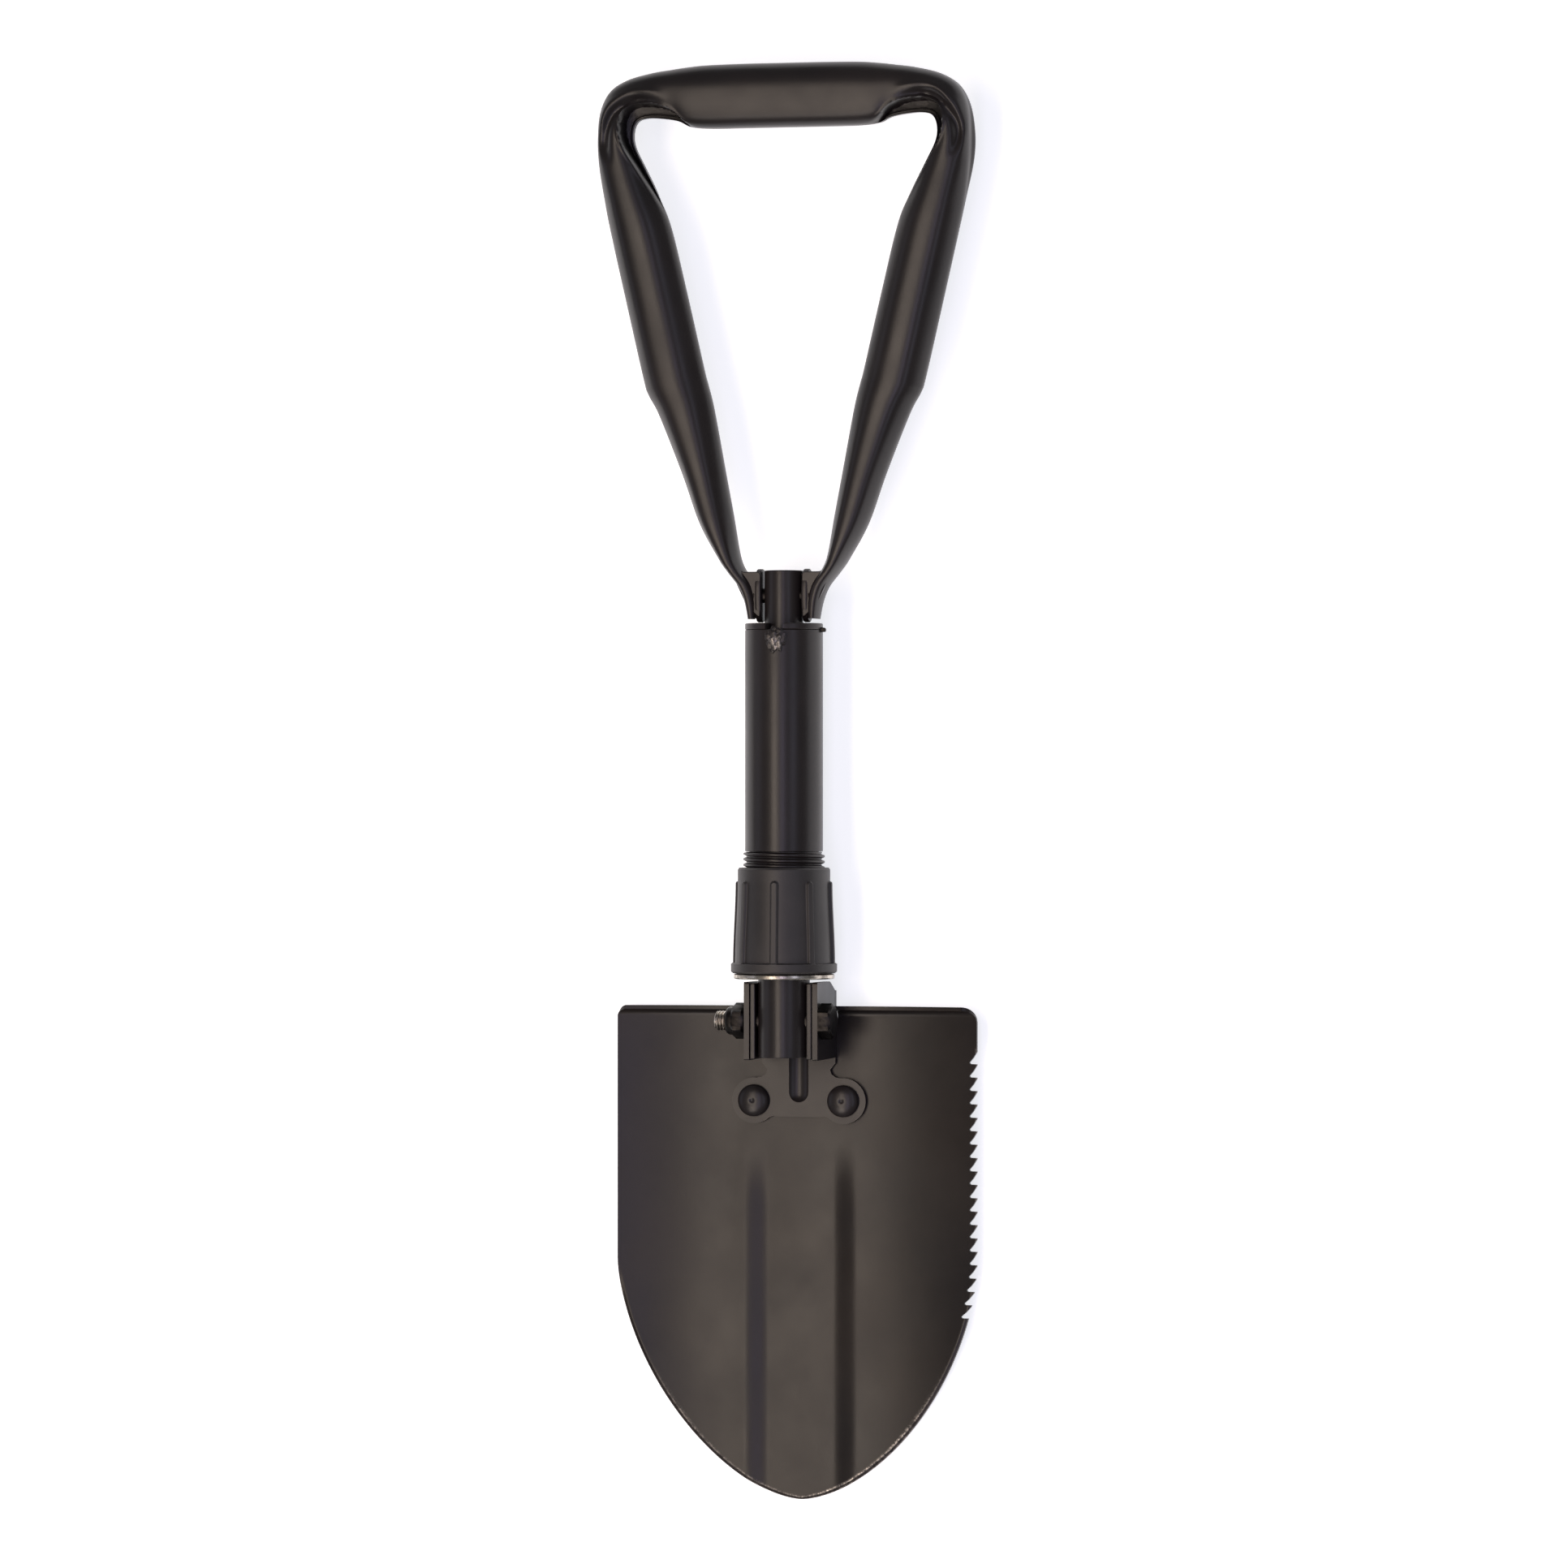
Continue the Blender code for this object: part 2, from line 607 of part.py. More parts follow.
def make_bolt(parent):
    """The pivot bolt: a hexagon head on the right, a plain shank, and thread ridges on the left."""
    bm = bmesh.new()
    face = EAR_INNER_X + EAR_THICKNESS + 0.2
    points = [(0, BOLT_END_X), (BOLT_ROOT_R - 0.2, BOLT_END_X)]
    for k in range(4):
        start = BOLT_END_X + 0.5 + BOLT_PITCH * k
        points += [(BOLT_R, start), (BOLT_R, start + 0.35), (BOLT_ROOT_R, start + 0.8)]
    points += [(BOLT_R, -23.0), (BOLT_R, face + 1.0), (0, face + 1.0)]
    lathe(bm, points, 24, (1, 0, 0), (0, BOLT_Y, 0))
    bolt = finish(bm, "pivot_bolt", BARE_STEEL, parent)
    bm = bmesh.new()
    prism(bm, hexagon(ACROSS_FLATS), face, face + BOLT_HEAD_HEIGHT, axis="x")
    boolean(bolt, finish(bm, "operand_bolt_head"), "UNION")


def make_nut(parent):
    """A lock nut: a hexagon, and a round collar on its outer end."""
    bm = bmesh.new()
    face = -(EAR_INNER_X + EAR_THICKNESS + 0.2)
    prism(bm, hexagon(ACROSS_FLATS), face - NUT_HEIGHT, face, axis="x")
    nut = finish(bm, "lock_nut", BLACK_PAINT, parent)
    bm = bmesh.new()
    end = face - NUT_END
    dome = [(0, face - 5.0), (NUT_COLLAR_R, face - 5.0), (NUT_COLLAR_R, end + 1.0)]
    dome += [(NUT_COLLAR_R - 1.0, end), (0, end)]
    lathe(bm, dome, 24, (1, 0, 0), (0, BOLT_Y, 0))
    boolean(nut, finish(bm, "operand_nut_collar"), "UNION")
    boolean(nut, bpy.data.objects["cutter_bolt_hole"], "DIFFERENCE")


# ---- handle body ------------------------------------------------------------------------------


def curve_through(values, share):
    """A Catmull-Rom blend of four neighbouring rows of numbers."""
    p0, p1, p2, p3 = values
    blended = []
    for a, b, c, d in zip(p0, p1, p2, p3):
        slope = c - a
        bend = 2 * a - 5 * b + 4 * c - d
        twist = 3 * b - a - 3 * c + d
        blended.append(0.5 * (2 * b + slope * share + bend * share**2 + twist * share**3))
    return blended


def handle_stations(steps):
    """The stations of the whole handle, right lug to left lug, with steps between each two."""
    mirrored = [(-a, b, -c, d, e) for a, b, c, d, e in reversed(HANDLE_STATIONS[:-1])]
    rows = HANDLE_STATIONS + mirrored
    fine = []
    for k in range(len(rows) - 1):
        near = [rows[max(k - 1, 0)], rows[k], rows[k + 1], rows[min(k + 2, len(rows) - 1)]]
        fine += [curve_through(near, s / steps) for s in range(steps)]
    return fine + [rows[-1]]


def channel_section(station):
    """A closed ring of points: the channel's rounded outside, then its inside, open at the back."""
    inner_x, inner_y, outer_x, outer_y, depth = station
    inner, outer = Vector((inner_x, inner_y, 0)), Vector((outer_x, outer_y, 0))
    middle = (inner + outer) / 2
    across = (outer - inner).normalized()
    half = (outer - inner).length / 2
    points = []
    for wall, order in ((0.0, 1), (HANDLE_WALL, -1)):
        ring = []
        for k in range(13):
            angle = math.radians(-62 + (304) * k / 12)
            c, s = math.cos(angle), math.sin(angle)
            u = (half - wall) * math.copysign(abs(c) ** 0.8, c)
            z = (depth - wall) * math.copysign(abs(s) ** 0.8, s)
            ring.append(middle + across * u + Vector((0, 0, z)))
        points += ring[::order]
    return points


def lug_outline():
    """The ears' outline in (y, z): a round-cornered plate that stays within LUG_R of the pivot."""
    points = []
    for c, s in arc(0, 0, 1.0, 0, 352.5, 47):
        y = LUG_R * math.copysign(abs(c) ** 0.8, c)
        z = LUG_HALF_DEPTH * math.copysign(abs(s) ** 0.8, s)
        shrink = min(1.0, LUG_R / math.hypot(y, z))
        points.append((HANDLE_PIVOT_Y + y * shrink, z * shrink))
    return points


def make_lugs():
    """The two flat ears that stand beside the stub and turn on the rivet."""
    bm = bmesh.new()
    for sign in (-1, 1):
        sides = sorted((sign * LUG_INNER_X, sign * (LUG_INNER_X + LUG_THICKNESS)))
        prism(bm, lug_outline(), *sides, axis="x")
    return finish(bm, "operand_lugs")


def make_handle_hole():
    """The rivet's hole through both ears, and the room for its heads inside the arms."""
    seat = LUG_INNER_X + LUG_THICKNESS + GAP / 2
    reach = seat + RIVET_HEAD_HEIGHT + GAP
    shank, head = RIVET_R + GAP, RIVET_HEAD_RADIUS + GAP
    outline = [(0, -reach), (head, -reach), (head, -seat), (shank, -seat)]
    outline += [(r, -d) for r, d in reversed(outline)]
    bm = bmesh.new()
    lathe(bm, outline, 24, (1, 0, 0), (0, HANDLE_PIVOT_Y, 0))
    return finish(bm, "cutter_handle_hole")


def make_handle(parent):
    bm = bmesh.new()
    rings = []
    for station in handle_stations(2):
        rings.append([bm.verts.new(p) for p in channel_section(station)])
    loft_faces(bm, rings)
    handle = finish(bm, "handle_frame", BLACK_PAINT, parent)
    boolean(handle, make_lugs(), "UNION")
    boolean(handle, make_handle_hole(), "DIFFERENCE")


def main():
    for old in list(bpy.data.objects):
        bpy.data.objects.remove(old)
    make_bolt_hole()
    make_tube_body(body("shaft_body", 0, 0, 0))
    make_collar(body("collar_lift_body", 0, WASHER_LOW_Y, 0), body("collar_body", 0, -55.0, 0))
    blade_body = body("blade_body", 0, BOLT_Y, 0)
    make_blade(blade_body)
    make_bracket(blade_body)
    make_rivets(blade_body)
    make_rivet_holes()
    make_bolt(blade_body)
    make_nut(blade_body)
    make_handle(body("handle_body", 0, HANDLE_PIVOT_Y, 0))


main()
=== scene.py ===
"""The looks of a folding camp shovel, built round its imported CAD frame.

Shapes are drawn in millimetres about the shovel's long axis: +X across, +Y from the blade's tip
to the grip, +Z towards the viewer. place() takes them into the frame.
"""

import math

import bmesh
import bpy
from mathutils import Matrix, Vector, noise


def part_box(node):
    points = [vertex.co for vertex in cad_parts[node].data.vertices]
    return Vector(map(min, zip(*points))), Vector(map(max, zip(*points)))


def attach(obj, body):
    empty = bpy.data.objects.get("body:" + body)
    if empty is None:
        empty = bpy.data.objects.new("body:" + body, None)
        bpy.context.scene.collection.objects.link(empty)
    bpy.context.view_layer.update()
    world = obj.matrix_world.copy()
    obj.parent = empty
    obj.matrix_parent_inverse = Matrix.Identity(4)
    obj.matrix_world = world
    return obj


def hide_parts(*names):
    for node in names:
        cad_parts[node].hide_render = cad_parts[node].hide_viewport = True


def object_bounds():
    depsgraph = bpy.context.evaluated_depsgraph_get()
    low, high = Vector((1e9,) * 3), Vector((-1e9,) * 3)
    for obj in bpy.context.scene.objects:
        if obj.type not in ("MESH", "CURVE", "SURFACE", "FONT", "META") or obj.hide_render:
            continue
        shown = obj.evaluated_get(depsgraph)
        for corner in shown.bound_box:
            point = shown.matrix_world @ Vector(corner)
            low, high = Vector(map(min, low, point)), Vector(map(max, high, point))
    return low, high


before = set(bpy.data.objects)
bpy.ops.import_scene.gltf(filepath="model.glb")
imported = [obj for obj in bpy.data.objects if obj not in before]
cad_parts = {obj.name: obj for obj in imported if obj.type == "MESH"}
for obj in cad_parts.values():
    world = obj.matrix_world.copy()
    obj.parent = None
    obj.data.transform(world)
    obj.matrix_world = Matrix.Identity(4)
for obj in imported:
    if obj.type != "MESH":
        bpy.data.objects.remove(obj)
frame_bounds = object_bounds()

MM = 0.001


def node_box(node):
    """A node's lowest and highest corners in millimetres about the long axis."""
    low, high = (Vector(corner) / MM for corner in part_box(node))
    axis = Vector((0, 0, AXIS_Z))
    return low - axis, high - axis


AXIS_Z = sum(corner[2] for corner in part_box("main_tube")) / 2 / MM

TUBE_LOW, TUBE_HIGH = node_box("main_tube")
RING_LOW, RING_HIGH = node_box("end_ring")
STUB_LOW, STUB_HIGH = node_box("stub_tube")
PLUG_LOW, PLUG_HIGH = node_box("threaded_plug")
WELD_LOW, WELD_HIGH = node_box("weld_bead")
SHAFT_LOW, SHAFT_HIGH = node_box("lower_shaft")
FORK_LOW, FORK_HIGH = node_box("hinge_fork")
WASHER_LOW, WASHER_HIGH = node_box("pressure_washer")
COLLAR_LOW, COLLAR_HIGH = node_box("lock_collar")
BLADE_LOW, BLADE_HIGH = node_box("blade")
_, BRACKET_HIGH = node_box("hinge_bracket")
RIVET_LOW, RIVET_HIGH = node_box("rivet_right")
BOLT_LOW, BOLT_HIGH = node_box("pivot_bolt")
NUT_LOW, NUT_HIGH = node_box("lock_nut")
PIN_LOW, PIN_HIGH = node_box("handle_pivot_rivet")

TUBE_R = TUBE_HIGH.x
PIVOT_Y = (PIN_LOW.y + PIN_HIGH.y) / 2
BOLT_Y = (NUT_LOW.y + NUT_HIGH.y) / 2

TUBE_WALL = 1.5
STUB_WALL = 1.9
SHAFT_WALL = 2.0
PIN_HOLE_R = 3.1
BOLT_HOLE_R = 4.1
CUTTER_REACH = 45
THREAD_PITCH = 2.3
THREAD_DEPTH = 1.3
THREAD_SHOWN_TO_Y = -44.0
THREAD_END_Y = -62.0
FORK_SHEET = 2.1
COLLAR_BORE_R = 16.9
RIB_COUNT = 8
RIB_TURN = math.radians(3)
BLADE_SHEET = 1.6
EDGE_GRIND = 1.5
CORNER_R_LEFT = 4.5
CORNER_R_RIGHT = 6.5
BLADE_HALF_WIDTH = BLADE_HIGH.x
BLADE_FRONT_Z = -25.5
SHOULDER_Y = BLADE_LOW.y + 98.5
TIP_TAPER = 1.68
TIP_BLUNTNESS = 0.59
LIP_R = 3.0
LIP_HEIGHT = 1.5
CHANNEL_INNER_X = 13.4
CHANNEL_OUTER_X = 24.2
CHANNEL_DEPTH = 1.5
CHANNEL_FADE_Y = (-176.0, -140.0)
SIDE_RISE = 0.0024
TOOTH_COUNT = 20
TOOTH_PITCH = 5.45
TOOTH_DEPTH = 3.3
TOOTH_RAMP_SHARE = 0.86
TOOTH_START_Y = BLADE_HIGH.y - 17.85
NOTCH_HALF_WIDTH = 16.0
NOTCH_FLOOR_Y = -98.0
NOTCH_CORNER_R = 2
PLATE_FRONT_Z = -23.2
PLATE_SHEET = 2.0
EAR_SHEET = 2.15
GROOVE_R = 5.8
EAR_INNER_X = 13.3
RIVET_X = (RIVET_LOW.x + RIVET_HIGH.x) / 2
RIVET_Y = (RIVET_LOW.y + RIVET_HIGH.y) / 2
RIVET_HEAD_R = RIVET_HIGH.x - RIVET_X
RIVET_SHANK_R = 3.0
BOLT_R = 4.0
BOLT_PITCH = 1.25
BOLT_HEAD_HEIGHT = 5.3
ACROSS_FLATS = 13.0


# ---- mesh helpers ---------------------------------------------------------------------------------


def place(bm, name, finish, body, *nodes, angle=38, bevel=0.0):
    """Makes the piece, gives it its finish, and has it ride on a body in place of CAD nodes."""
    bmesh.ops.recalc_face_normals(bm, faces=bm.faces)
    bm.transform(Matrix.Scale(MM, 4) @ Matrix.Translation((0, 0, AXIS_Z)))
    mesh = bpy.data.meshes.new(name)
    bm.to_mesh(mesh)
    bm.free()
    piece = bpy.data.objects.new(name, mesh)
    bpy.context.scene.collection.objects.link(piece)
    mesh.shade_smooth()
    mesh.set_sharp_from_angle(angle=math.radians(angle))
    if finish:
        slot_name, look = finish
        mesh.materials.append(look)
        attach(piece, body)
        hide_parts(*nodes)
    if bevel:
        round_edges(piece, bevel)
    return piece


def round_edges(piece, width, segments=2, angle=38):
    modifier = piece.modifiers.new("edges", "BEVEL")
    modifier.width = width * MM
    modifier.segments = segments
    modifier.limit_method = "ANGLE"
    modifier.angle_limit = math.radians(angle)
    modifier.use_clamp_overlap = True


def combine(target, operand, operation):
    """Joins or cuts target with operand, for good, and removes operand."""
    modifier = target.modifiers.new("combine", "BOOLEAN")
    modifier.operation = operation
    modifier.object = operand
    modifier.solver = "EXACT"
    graph = bpy.context.evaluated_depsgraph_get()
    mesh = bpy.data.meshes.new_from_object(target.evaluated_get(graph))
    target.modifiers.clear()
    target.data = mesh
    bpy.data.objects.remove(operand)
    mesh.shade_smooth()
    mesh.set_sharp_from_angle(angle=math.radians(38))


def rounded(points, radius, steps=3):
    """The same closed outline with each of its corners rounded off."""
    result = []
    count = len(points)
    for k in range(count):
        before, here, after = (Vector(points[(k + d) % count]) for d in (-1, 0, 1))
        back, ahead = before - here, after - here
        cut = min(radius, back.length * 0.45, ahead.length * 0.45)
        a = here + back.normalized() * cut
        b = here + ahead.normalized() * cut
        for s in range(steps + 1):
            t = s / steps
            result.append(tuple(a * (1 - t) ** 2 + here * 2 * t * (1 - t) + b * t * t))
    return result


def lathe(bm, profile, segments=96, along=(0, 1, 0), at=(0, 0, 0)):
    """Turns a closed outline of (radius, distance along the axis) points."""
    turn = Vector((0, 0, 1)).rotation_difference(Vector(along)).to_matrix().to_4x4()
    frame_of = Matrix.Translation(at) @ turn
    rings = []
    for radius, distance in profile:
        count = 1 if radius < 0.001 else segments
        ring = []
        for k in range(count):
            angle = 2 * math.pi * k / segments
            point = (radius * math.cos(angle), radius * math.sin(angle), distance)
            ring.append(bm.verts.new(frame_of @ Vector(point)))
        rings.append(ring)
    for a, b in zip(rings, rings[1:] + rings[:1]):
        for k in range(segments):
            corners = [a[k % len(a)], a[(k + 1) % len(a)], b[(k + 1) % len(b)], b[k % len(b)]]
            corners = list(dict.fromkeys(corners))
            if len(corners) > 2:
                bm.faces.new(corners)


def turned(name, profile, finish, body, *nodes, segments=96, along=(0, 1, 0), at=(0, 0, 0)):
    bm = bmesh.new()
    lathe(bm, profile, segments, along, at)
    return place(bm, name, finish, body, *nodes)


def tube(outer, inner, low, high, round_off=0.35):
    """The outline of a tube's wall, its edges rounded."""
    return rounded([(outer, low), (outer, high), (inner, high), (inner, low)], round_off)


def rod(radius, low, high):
    return [(0, low), (radius, low), (radius, high), (0, high)]


def loft(bm, rings, capped=True):
    """Joins closed rings of equal length, one after another."""
    for a, b in zip(rings, rings[1:]):
        count = len(a)
        for k in range(count):
            bm.faces.new((a[k], a[(k + 1) % count], b[(k + 1) % count], b[k]))
    if capped:
        bm.faces.new(rings[0])
        bm.faces.new(rings[-1])


def prism(bm, outline, low, high, axis="z"):
    """Extrudes an outline of (x, y) points along z, of (y, z) along x, or of (x, z) along y."""
    rings = []
    for level in (low, high):
        orders = {"z": lambda a, b: (a, b, level), "x": lambda a, b: (level, a, b)}
        orders["y"] = lambda a, b: (a, level, b)
        rings.append([bm.verts.new(orders[axis](a, b)) for a, b in outline])
    loft(bm, rings)


def arc(cx, cy, radius, start, end, steps):
    angles = [math.radians(start + (end - start) * k / steps) for k in range(steps + 1)]
    return [(cx + radius * math.cos(a), cy + radius * math.sin(a)) for a in angles]


def smooth_step(value, low, high):
    t = min(max((value - low) / (high - low), 0.0), 1.0)
    return t * t * (3 - 2 * t)


def bump(value, centre, width):
    return math.exp(-(((value - centre) / width) ** 2))


def height_ring(bm, radius_at, rows, segments, bore):
    """A closed sleeve round the long axis whose outside radius is radius_at(y, angle)."""
    outside, inside = [], []
    for y in rows:
        outer, inner = [], []
        for k in range(segments):
            angle = 2 * math.pi * k / segments
            c, s = math.sin(angle), math.cos(angle)
            r = radius_at(y, angle)
            outer.append(bm.verts.new((r * c, y, r * s)))
            inner.append(bm.verts.new((bore * c, y, bore * s)))
        outside.append(outer)
        inside.append(inner)
    loft(bm, outside, capped=False)
    loft(bm, inside, capped=False)
    loft(bm, [outside[0], inside[0]], capped=False)
    loft(bm, [outside[-1], inside[-1]], capped=False)


def spread(low, high, step):
    """Evenly spaced places from low to high, both included."""
    count = max(int(round(abs(high - low) / step)), 1)
    return [low + (high - low) * k / count for k in range(count + 1)]


def thread_wave(turns):
    """The height of a rounded thread, 0 to 1, at a place along it in turns."""
    part = turns % 1.0
    return smooth_step(part, 0.05, 0.35) * (1 - smooth_step(part, 0.6, 0.95))


# ---- finishes -------------------------------------------------------------------------------------


class Look:
    """A procedural material under construction: a principled shader fed by textures."""

    def __init__(self, name):
        self.material = bpy.data.materials.new(name)
        self.material.use_nodes = True
        self.tree = self.material.node_tree
        self.shader = self.tree.nodes["Principled BSDF"]
        self.place = self.node("ShaderNodeTexCoord").outputs["Object"]

    def node(self, kind, **settings):
        made = self.tree.nodes.new(kind)
        for key, value in settings.items():
            if hasattr(made, key):
                setattr(made, key, value)
            else:
                made.inputs[key.replace("_", " ").title()].default_value = value
        return made

    def link(self, output, target):
        self.tree.links.new(output, target)

    def noise(self, size_mm, detail=3.0, roughness=0.55, stretch=None):
        """A noise texture whose lumps are about size_mm across."""
        made = self.node("ShaderNodeTexNoise", detail=detail, roughness=roughness)
        made.inputs["Scale"].default_value = 1000.0 / size_mm
        source = self.place
        if stretch:
            mapping = self.node("ShaderNodeMapping")
            mapping.inputs["Scale"].default_value = stretch
            self.link(source, mapping.inputs["Vector"])
            source = mapping.outputs["Vector"]
        self.link(source, made.inputs["Vector"])
        return made.outputs["Fac"]

    def ramp(self, value, *stops):
        """A colour ramp through stops of (place, colour)."""
        made = self.node("ShaderNodeValToRGB")
        while len(made.color_ramp.elements) < len(stops):
            made.color_ramp.elements.new(0.5)
        for element, (where, colour) in zip(made.color_ramp.elements, stops):
            element.position = where
            element.color = (*colour, 1.0)
        self.link(value, made.inputs["Fac"])
        return made.outputs["Color"]

    def remap(self, value, low, high, to_low, to_high):
        made = self.node("ShaderNodeMapRange")
        for key, number in (("From Min", low), ("From Max", high), ("To Min", to_low), ("To Max", to_high)):
            made.inputs[key].default_value = number
        self.link(value, made.inputs["Value"])
        return made.outputs["Result"]

    def combine(self, a, b, operation="MULTIPLY"):
        made = self.node("ShaderNodeMath", operation=operation)
        self.link(a, made.inputs[0])
        self.link(b, made.inputs[1])
        return made.outputs["Value"]

    def mix(self, mask, a, b):
        made = self.node("ShaderNodeMix", data_type="RGBA")
        self.link(mask, made.inputs["Factor"])
        self.link(a, made.inputs[6])
        self.link(b, made.inputs[7])
        return made.outputs[2]

    def bumps(self, *layers):
        """Stacks bump maps: each layer is (height, strength, depth in millimetres)."""
        normal = None
        for height, strength, depth in layers:
            made = self.node("ShaderNodeBump")
            made.inputs["Strength"].default_value = strength
            made.inputs["Distance"].default_value = depth * MM
            self.link(height, made.inputs["Height"])
            if normal:
                self.link(normal, made.inputs["Normal"])
            normal = made.outputs["Normal"]
        self.link(normal, self.shader.inputs["Normal"])

    def into(self, **sockets):
        for key, output in sockets.items():
            self.link(output, self.shader.inputs[key.replace("_", " ")])


def painted(name, dark, light, gloss, sheen, grain_mm=1.1, peel=0.22):
    """Satin black paint on steel: faint clouding and orange peel, and bare metal where worn."""
    look = Look(name)
    clouds = look.noise(55, detail=4)
    grain = look.noise(grain_mm, detail=2)
    scuffs = look.noise(30, detail=6, roughness=0.62)
    flecks = look.noise(1.6, detail=4, roughness=0.65)
    worn = look.node("ShaderNodeAttribute", attribute_name="wear").outputs["Fac"]
    bare = look.combine(worn, look.remap(flecks, 0.38, 0.60, 0.0, 1.0))
    paint = look.ramp(clouds, (0.35, dark), (0.65, light))
    steel = look.ramp(grain, (0.3, (0.20, 0.18, 0.16)), (0.7, (0.46, 0.43, 0.40)))
    rough = look.remap(scuffs, 0.3, 0.7, gloss - 0.04, gloss + 0.05)
    look.into(
        Base_Color=look.mix(bare, paint, steel),
        Roughness=rough,
        Metallic=look.remap(bare, 0.0, 1.0, 0.0, 0.9),
    )
    look.shader.inputs["Specular IOR Level"].default_value = sheen
    look.bumps((clouds, 0.25, 0.25), (grain, peel, 0.05), (scuffs, 0.12, 0.12))
    return look.material


def moulded_plastic(name):
    """Matt black moulded plastic with a fine spark-eroded grain."""
    look = Look(name)
    clouds = look.noise(22, detail=3)
    grain = look.noise(0.55, detail=2)
    look.into(
        Base_Color=look.ramp(clouds, (0.35, (0.022, 0.020, 0.020)), (0.65, (0.032, 0.029, 0.029))),
        Roughness=look.remap(clouds, 0.3, 0.7, 0.44, 0.54),
    )
    look.bumps((grain, 0.30, 0.06))
    return look.material


def bare_steel(name, dark, light, gloss):
    """Zinc-plated steel rubbed by use: fine circling scratches and dull patches."""
    look = Look(name)
    patches = look.noise(6, detail=5, roughness=0.65)
    scratches = look.noise(0.9, detail=4, roughness=0.7, stretch=(1.0, 4.0, 1.0))
    look.into(
        Base_Color=look.ramp(patches, (0.35, dark), (0.62, light)),
        Roughness=look.remap(patches, 0.35, 0.65, gloss + 0.15, gloss),
    )
    look.shader.inputs["Metallic"].default_value = 1.0
    look.bumps((patches, 0.2, 0.1), (scratches, 0.25, 0.05))
    return look.material


PAINT = (
    "black_paint",
    painted("satin_black_paint", (0.0125, 0.0104, 0.0108), (0.019, 0.0150, 0.0148), 0.33, 0.40),
)
BLADE_PAINT = (
    "blade_paint",
    painted("blade_black_paint", (0.0120, 0.0098, 0.0098), (0.0185, 0.0142, 0.0122), 0.32, 0.32, 0.8, 0.3),
)
PLASTIC = ("collar_plastic", moulded_plastic("moulded_black_plastic"))
STEEL = ("bare_steel", bare_steel("rubbed_steel", (0.10, 0.09, 0.08), (0.62, 0.57, 0.50), 0.22))
DARK_STEEL = (
    "bare_steel",
    bare_steel("black_oxide_steel", (0.010, 0.009, 0.009), (0.030, 0.028, 0.027), 0.34),
)


# ---- main tube, stub and hinge fork -----------------------------------------------------------------


def make_tube_pieces():
    wall = tube(TUBE_R, TUBE_R - TUBE_WALL, TUBE_LOW.y, TUBE_HIGH.y)
    turned("tube_paint", wall, PAINT, "shaft", "main_tube", segments=128)
    make_end_ring()
    make_stub()
    make_plug()
    make_weld()
    wall = tube(SHAFT_HIGH.x, SHAFT_HIGH.x - SHAFT_WALL, SHAFT_LOW.y, SHAFT_HIGH.y)
    shaft = turned("shaft_paint", wall, PAINT, "shaft", "lower_shaft", segments=96)
    combine(shaft, cross_hole("shaft_hole", BOLT_HOLE_R, BOLT_Y), "DIFFERENCE")
    make_fork()


def cross_hole(name, radius, y):
    """A hidden rod along X that cuts a hole through what it meets."""
    bm = bmesh.new()
    lathe(bm, rod(radius, -CUTTER_REACH, CUTTER_REACH), 32, (1, 0, 0), (0, y, 0))
    return place(bm, name, None, None)


def make_end_ring():
    """The plate across the tube's top, with a gap in front for the weld and a small tab."""
    bm = bmesh.new()
    lathe(bm, tube(TUBE_R, STUB_HIGH.x + 0.15, RING_LOW.y - 0.2, RING_HIGH.y, 0.5), 128)
    ring = place(bm, "end_ring_paint", PAINT, "shaft", "end_ring")
    bm = bmesh.new()
    prism(bm, [(-3.6, RING_LOW.y - 2), (3.2, RING_LOW.y - 2), (4.6, 70), (-4.6, 70)], 6, 20)
    combine(ring, place(bm, "ring_gap", None, None), "DIFFERENCE")
    round_edges(ring, 0.3)
    bm = bmesh.new()
    root, tip = TUBE_R - 2.5, TUBE_R + 1.7
    prism(bm, rounded([(root, 61.7), (tip, 61.7), (tip, 63.4), (root, 64.0)], 1.1, 5), -1.2, 1.0)
    place(bm, "ring_tab", DARK_STEEL, "shaft", bevel=0.3)


def make_stub():
    wall = tube(STUB_HIGH.x, STUB_HIGH.x - STUB_WALL, STUB_LOW.y, STUB_HIGH.y, 0.4)
    stub = turned("stub_paint", wall, PAINT, "shaft", "stub_tube", segments=96)
    combine(stub, cross_hole("stub_hole", PIN_HOLE_R, PIVOT_Y), "DIFFERENCE")


def make_plug():
    """The threaded end below the tube: a cut helix, seen between the tube and the collar."""
    root = PLUG_HIGH.x - THREAD_DEPTH
    start = TUBE_LOW.y - 0.2

    def radius_at(y, angle):
        if y > start:
            return TUBE_R - 1.7
        depth = smooth_step(y, start, start - 0.5) * smooth_step(y, THREAD_END_Y, THREAD_END_Y + 1)
        ridge = thread_wave((start - y) / THREAD_PITCH - angle / (2 * math.pi))
        return root + THREAD_DEPTH * ridge * depth

    rows = [PLUG_HIGH.y, start + 0.02] + spread(start, THREAD_SHOWN_TO_Y, 0.16) + [PLUG_LOW.y]
    bm = bmesh.new()
    height_ring(bm, radius_at, rows, 144, SHAFT_HIGH.x + 0.3)
    place(bm, "plug_thread", PAINT, "shaft", "threaded_plug", angle=60)


